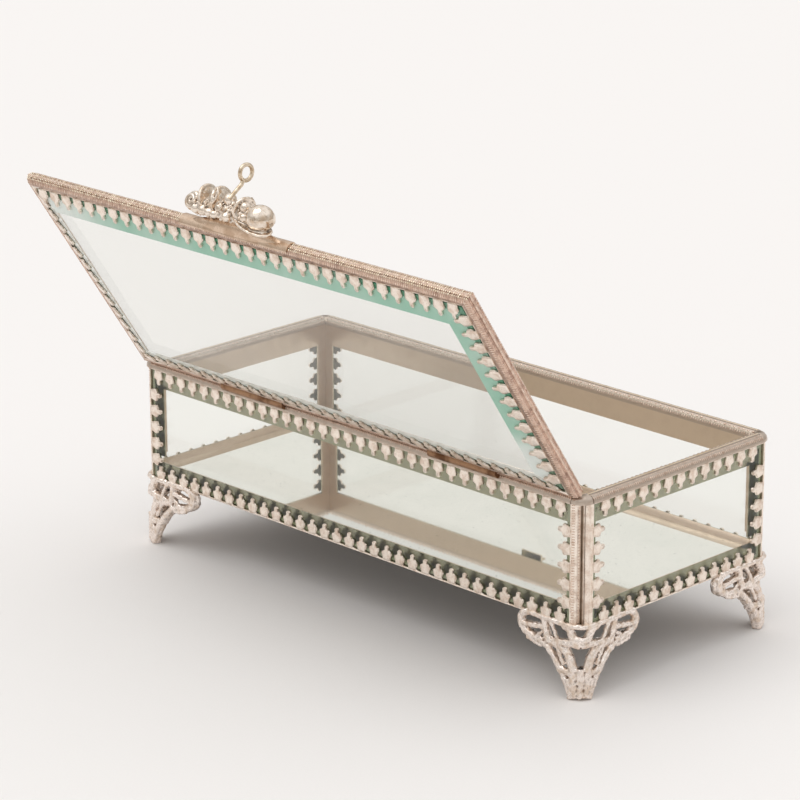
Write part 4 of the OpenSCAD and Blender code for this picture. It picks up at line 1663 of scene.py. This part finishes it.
@dataclass
class Fittings:
    """The hinges, the handle plate, the catch, the mirror and the soldered corners.

    Attributes:
        finishes: Finish of each CAD solid that shows as it is, by the start of its name.
        mirror_thick: Thickness of the mirror plate.
        mirror_arris: Width of its ground arris.
    """

    finishes: dict[str, Finish] = field(default_factory=lambda: {
        "hinge_leaf": Finish.HINGE, "hinge_pin": Finish.WIRE, "lid_knuckles": Finish.HINGE,
        "keeper": Finish.WIRE, "handle_plate": Finish.PLATE, "catch_wire": Finish.WIRE,
    })
    mirror_thick: float = 1.0
    mirror_arris: float = 0.15

    def build(self) -> None:
        """Makes the corners and the mirror, and gives each solid its finish."""
        self.solder_corners()
        self.lay_mirror()
        for name, node in frame["nodes"].items():
            for start, finish in self.finishes.items():
                if name.startswith(start):
                    Shop.paint(node, finish)

    def lay_mirror(self) -> None:
        """Lays the thin mirror plate on the ledges of the base rails."""
        lo = MIRROR_LO
        hi = Vector((MIRROR_HI.x, MIRROR_HI.y, MIRROR_LO.z + self.mirror_thick))
        place = Matrix.Translation((lo + hi) / 2) @ Matrix.Diagonal(hi - lo).to_4x4()
        bm = bmesh.new()
        bmesh.ops.create_cube(bm, size=1, matrix=place)
        bmesh.ops.bevel(bm, geom=bm.edges, offset=self.mirror_arris, segments=1, affect="EDGES")
        piece = mesh_from("mirror_plate", bm, smooth=False)
        dressed(piece, BOX, (Shop.get(Finish.MIRROR),), ["base_mirror"])

    def solder_corners(self) -> None:
        """Carries the rails' rounded edge round each corner, with a lump of solder on it."""
        turns, nudge = 10, 0.03
        lump_out, lump_drop, lump_wide, lump_high = 1.7, 0.35, 0.9, 0.34
        section = self.edge_section()
        for sx, sy, name in CORNERS:
            pivot = Vector((
                sx * (CASKET_L / 2 - STRIP_W + nudge),
                MID_Y + sy * (CASKET_W / 2 - STRIP_W + nudge),
                0,
            ))
            bm = bmesh.new()
            loops = []
            for i in range(turns + 1):
                a = math.pi / 2 * i / turns
                way = Vector((sx * math.cos(a), sy * math.sin(a), 0))
                loops.append([bm.verts.new(pivot + way * u + UP * z) for u, z in section])
            bridged(bm, loops)
            bm.faces.new(loops[0])
            bm.faces.new(loops[-1])
            lump = pivot + Vector((sx * lump_out, sy * lump_out, TOP_Z - lump_drop))
            add_ball(bm, lump, Vector((lump_wide, lump_wide, lump_high)))
            piece = fused(f"rounded_corner_{name}", bm, voxel=0.16, smooth=2)
            roughened(piece, amount=0.12, size=0.9, seed=sx * 2.3 + sy)
            dressed(piece, BOX, (Shop.get(Finish.RAIL),), [f"cap_{name}"])

    def edge_section(self) -> list[tuple[float, float]]:
        """Draws the section of the rails' rounded edge.

        Returns:
            Distance out from the corner's pivot, and height, of each of its points.
        """
        steps, arc, sunk = 14, 0.97, 0.02
        inner, outer, foot = 0.05, STRIP_W - 0.08, TOP_Z - CROWN_H
        radius = edge_radius(STRIP_W, CROWN_H)
        section = [(inner, foot)]
        for k in range(steps + 1):
            t = math.pi * (k / steps - 0.5) * arc
            out = min(max(STRIP_W / 2 + radius * math.sin(t), inner), outer)
            section.append((out, TOP_Z - radius + radius * math.cos(t) - sunk))
        section.append((outer, foot))
        return section


@dataclass
class Studio:
    """Camera, soft light and a pale floor.

    Attributes:
        place: Place of the camera, in millimetres.
        azimuth, elevation, roll: Its direction, in degrees.
        lens: Its focal length.
        sensor: Width of its sensor.
        backdrop: Colour that the camera sees behind the floor.
        dome: Colours of the dome at the horizon and overhead.
        sun_power: Strength of the light from above.
        sun_from: Direction that it comes from.
        sun_spread: Its width, in degrees.
        floor_reach: Distance from the middle to the floor's edges.
        paper: Colours of the floor's paper.
    """

    place: Vector = Vector((-732.576, 746.469 + MID_Y, 405.17))
    azimuth: float = 225.284
    elevation: float = 18.125
    roll: float = -0.23
    lens: float = 152.99
    sensor: float = 36.0
    backdrop: str = "F0ECE9"
    dome: tuple[str, str] = ("C4C0BA", "FFFFFF")
    sun_power: float = 0.58
    sun_from: tuple[float, float, float] = (0.25, 0.35, 1.0)
    sun_spread: float = 50
    floor_reach: float = 6000
    paper: tuple[str, str] = ("F0EDEB", "F2EFED")

    def build(self) -> None:
        """Makes the camera, the world, the light and the floor."""
        scene = bpy.context.scene
        scene.view_settings.view_transform = "Standard"
        self.add_camera(scene)
        self.add_world(scene)
        self.add_sun()
        self.add_floor()

    def add_camera(self, scene: bpy.types.Scene) -> None:
        """Places the camera.

        Args:
            scene: The scene that it is for.
        """
        a, e, r = (math.radians(v) for v in (self.azimuth, self.elevation, self.roll))
        back = Vector((math.sin(a) * math.cos(e), -math.cos(a) * math.cos(e), math.sin(e)))
        right = Vector((math.cos(a), math.sin(a), 0))
        up = back.cross(right)
        x = right * math.cos(r) + up * math.sin(r)
        y = up * math.cos(r) - right * math.sin(r)
        matrix = Matrix((x, y, back)).transposed().to_4x4()
        matrix.translation = self.place * MM
        data = bpy.data.cameras.new("camera")
        data.lens, data.sensor_width = self.lens, self.sensor
        data.clip_start, data.clip_end = 0.01, 50.0
        camera = bpy.data.objects.new("camera", data)
        camera.matrix_world = matrix
        scene.collection.objects.link(camera)
        scene.camera = camera

    def add_world(self, scene: bpy.types.Scene) -> None:
        """Adds a pale dome, brighter overhead, which the camera and glass see as the plain backdrop.

        Args:
            scene: The scene that it is for.
        """
        world = bpy.data.worlds.new("studio")
        scene.world = world
        world.use_nodes = True
        tree = world.node_tree
        tree.nodes.clear()
        way = put(tree, "ShaderNodeTexCoord").outputs["Generated"]
        height = put(tree, "ShaderNodeSeparateXYZ", {0: way}).outputs["Z"]
        dome = mixed(tree, ramp(tree, height, 0.0, 0.8), *self.dome)
        path = put(tree, "ShaderNodeLightPath")
        seen = put(tree, "ShaderNodeMath", {
            0: path.outputs["Is Camera Ray"], 1: path.outputs["Is Transmission Ray"],
        }, operation="MAXIMUM")
        colour = mixed(tree, seen.outputs[0], dome, self.backdrop)
        light = put(tree, "ShaderNodeBackground", {"Color": colour, "Strength": 1.0})
        put(tree, "ShaderNodeOutputWorld", {"Surface": light.outputs[0]})

    def add_sun(self) -> None:
        """Adds a wide, soft light from above."""
        data = bpy.data.lights.new("high_soft_light", "SUN")
        data.energy, data.angle = self.sun_power, math.radians(self.sun_spread)
        lamp = bpy.data.objects.new("high_soft_light", data)
        lamp.matrix_world = Vector(self.sun_from).to_track_quat("Z", "Y").to_matrix().to_4x4()
        bpy.context.scene.collection.objects.link(lamp)

    def add_floor(self) -> None:
        """Adds the paper floor."""
        bm = bmesh.new()
        corners = ((-1, -1), (1, -1), (1, 1), (-1, 1))
        bm.faces.new([bm.verts.new((x * self.floor_reach, y * self.floor_reach, 0)) for x, y in corners])
        floor = mesh_from("paper_floor", bm, smooth=False)
        material, tree, shader = new_material("white_backdrop_paper")
        speck = ramp(tree, grain(tree, 0.6, 2.0), 0.3, 0.7)
        tree.links.new(mixed(tree, speck, *self.paper), shader.inputs["Base Color"])
        shader.inputs["Roughness"].default_value = 0.9
        shader.inputs["Specular IOR Level"].default_value = 0.2
        floor.data.materials.append(material)


def main() -> None:
    """Builds the casket, piece by piece, and its studio."""
    logging.basicConfig(level=logging.INFO, format="%(name)s: %(message)s")
    Studio().build()
    StripWork(Stamper()).build()
    Panes().build()
    LidGlass().build()
    CastFeet().build()
    Ornament().build()
    Fittings().build()


if __name__ == "__main__":
    main()
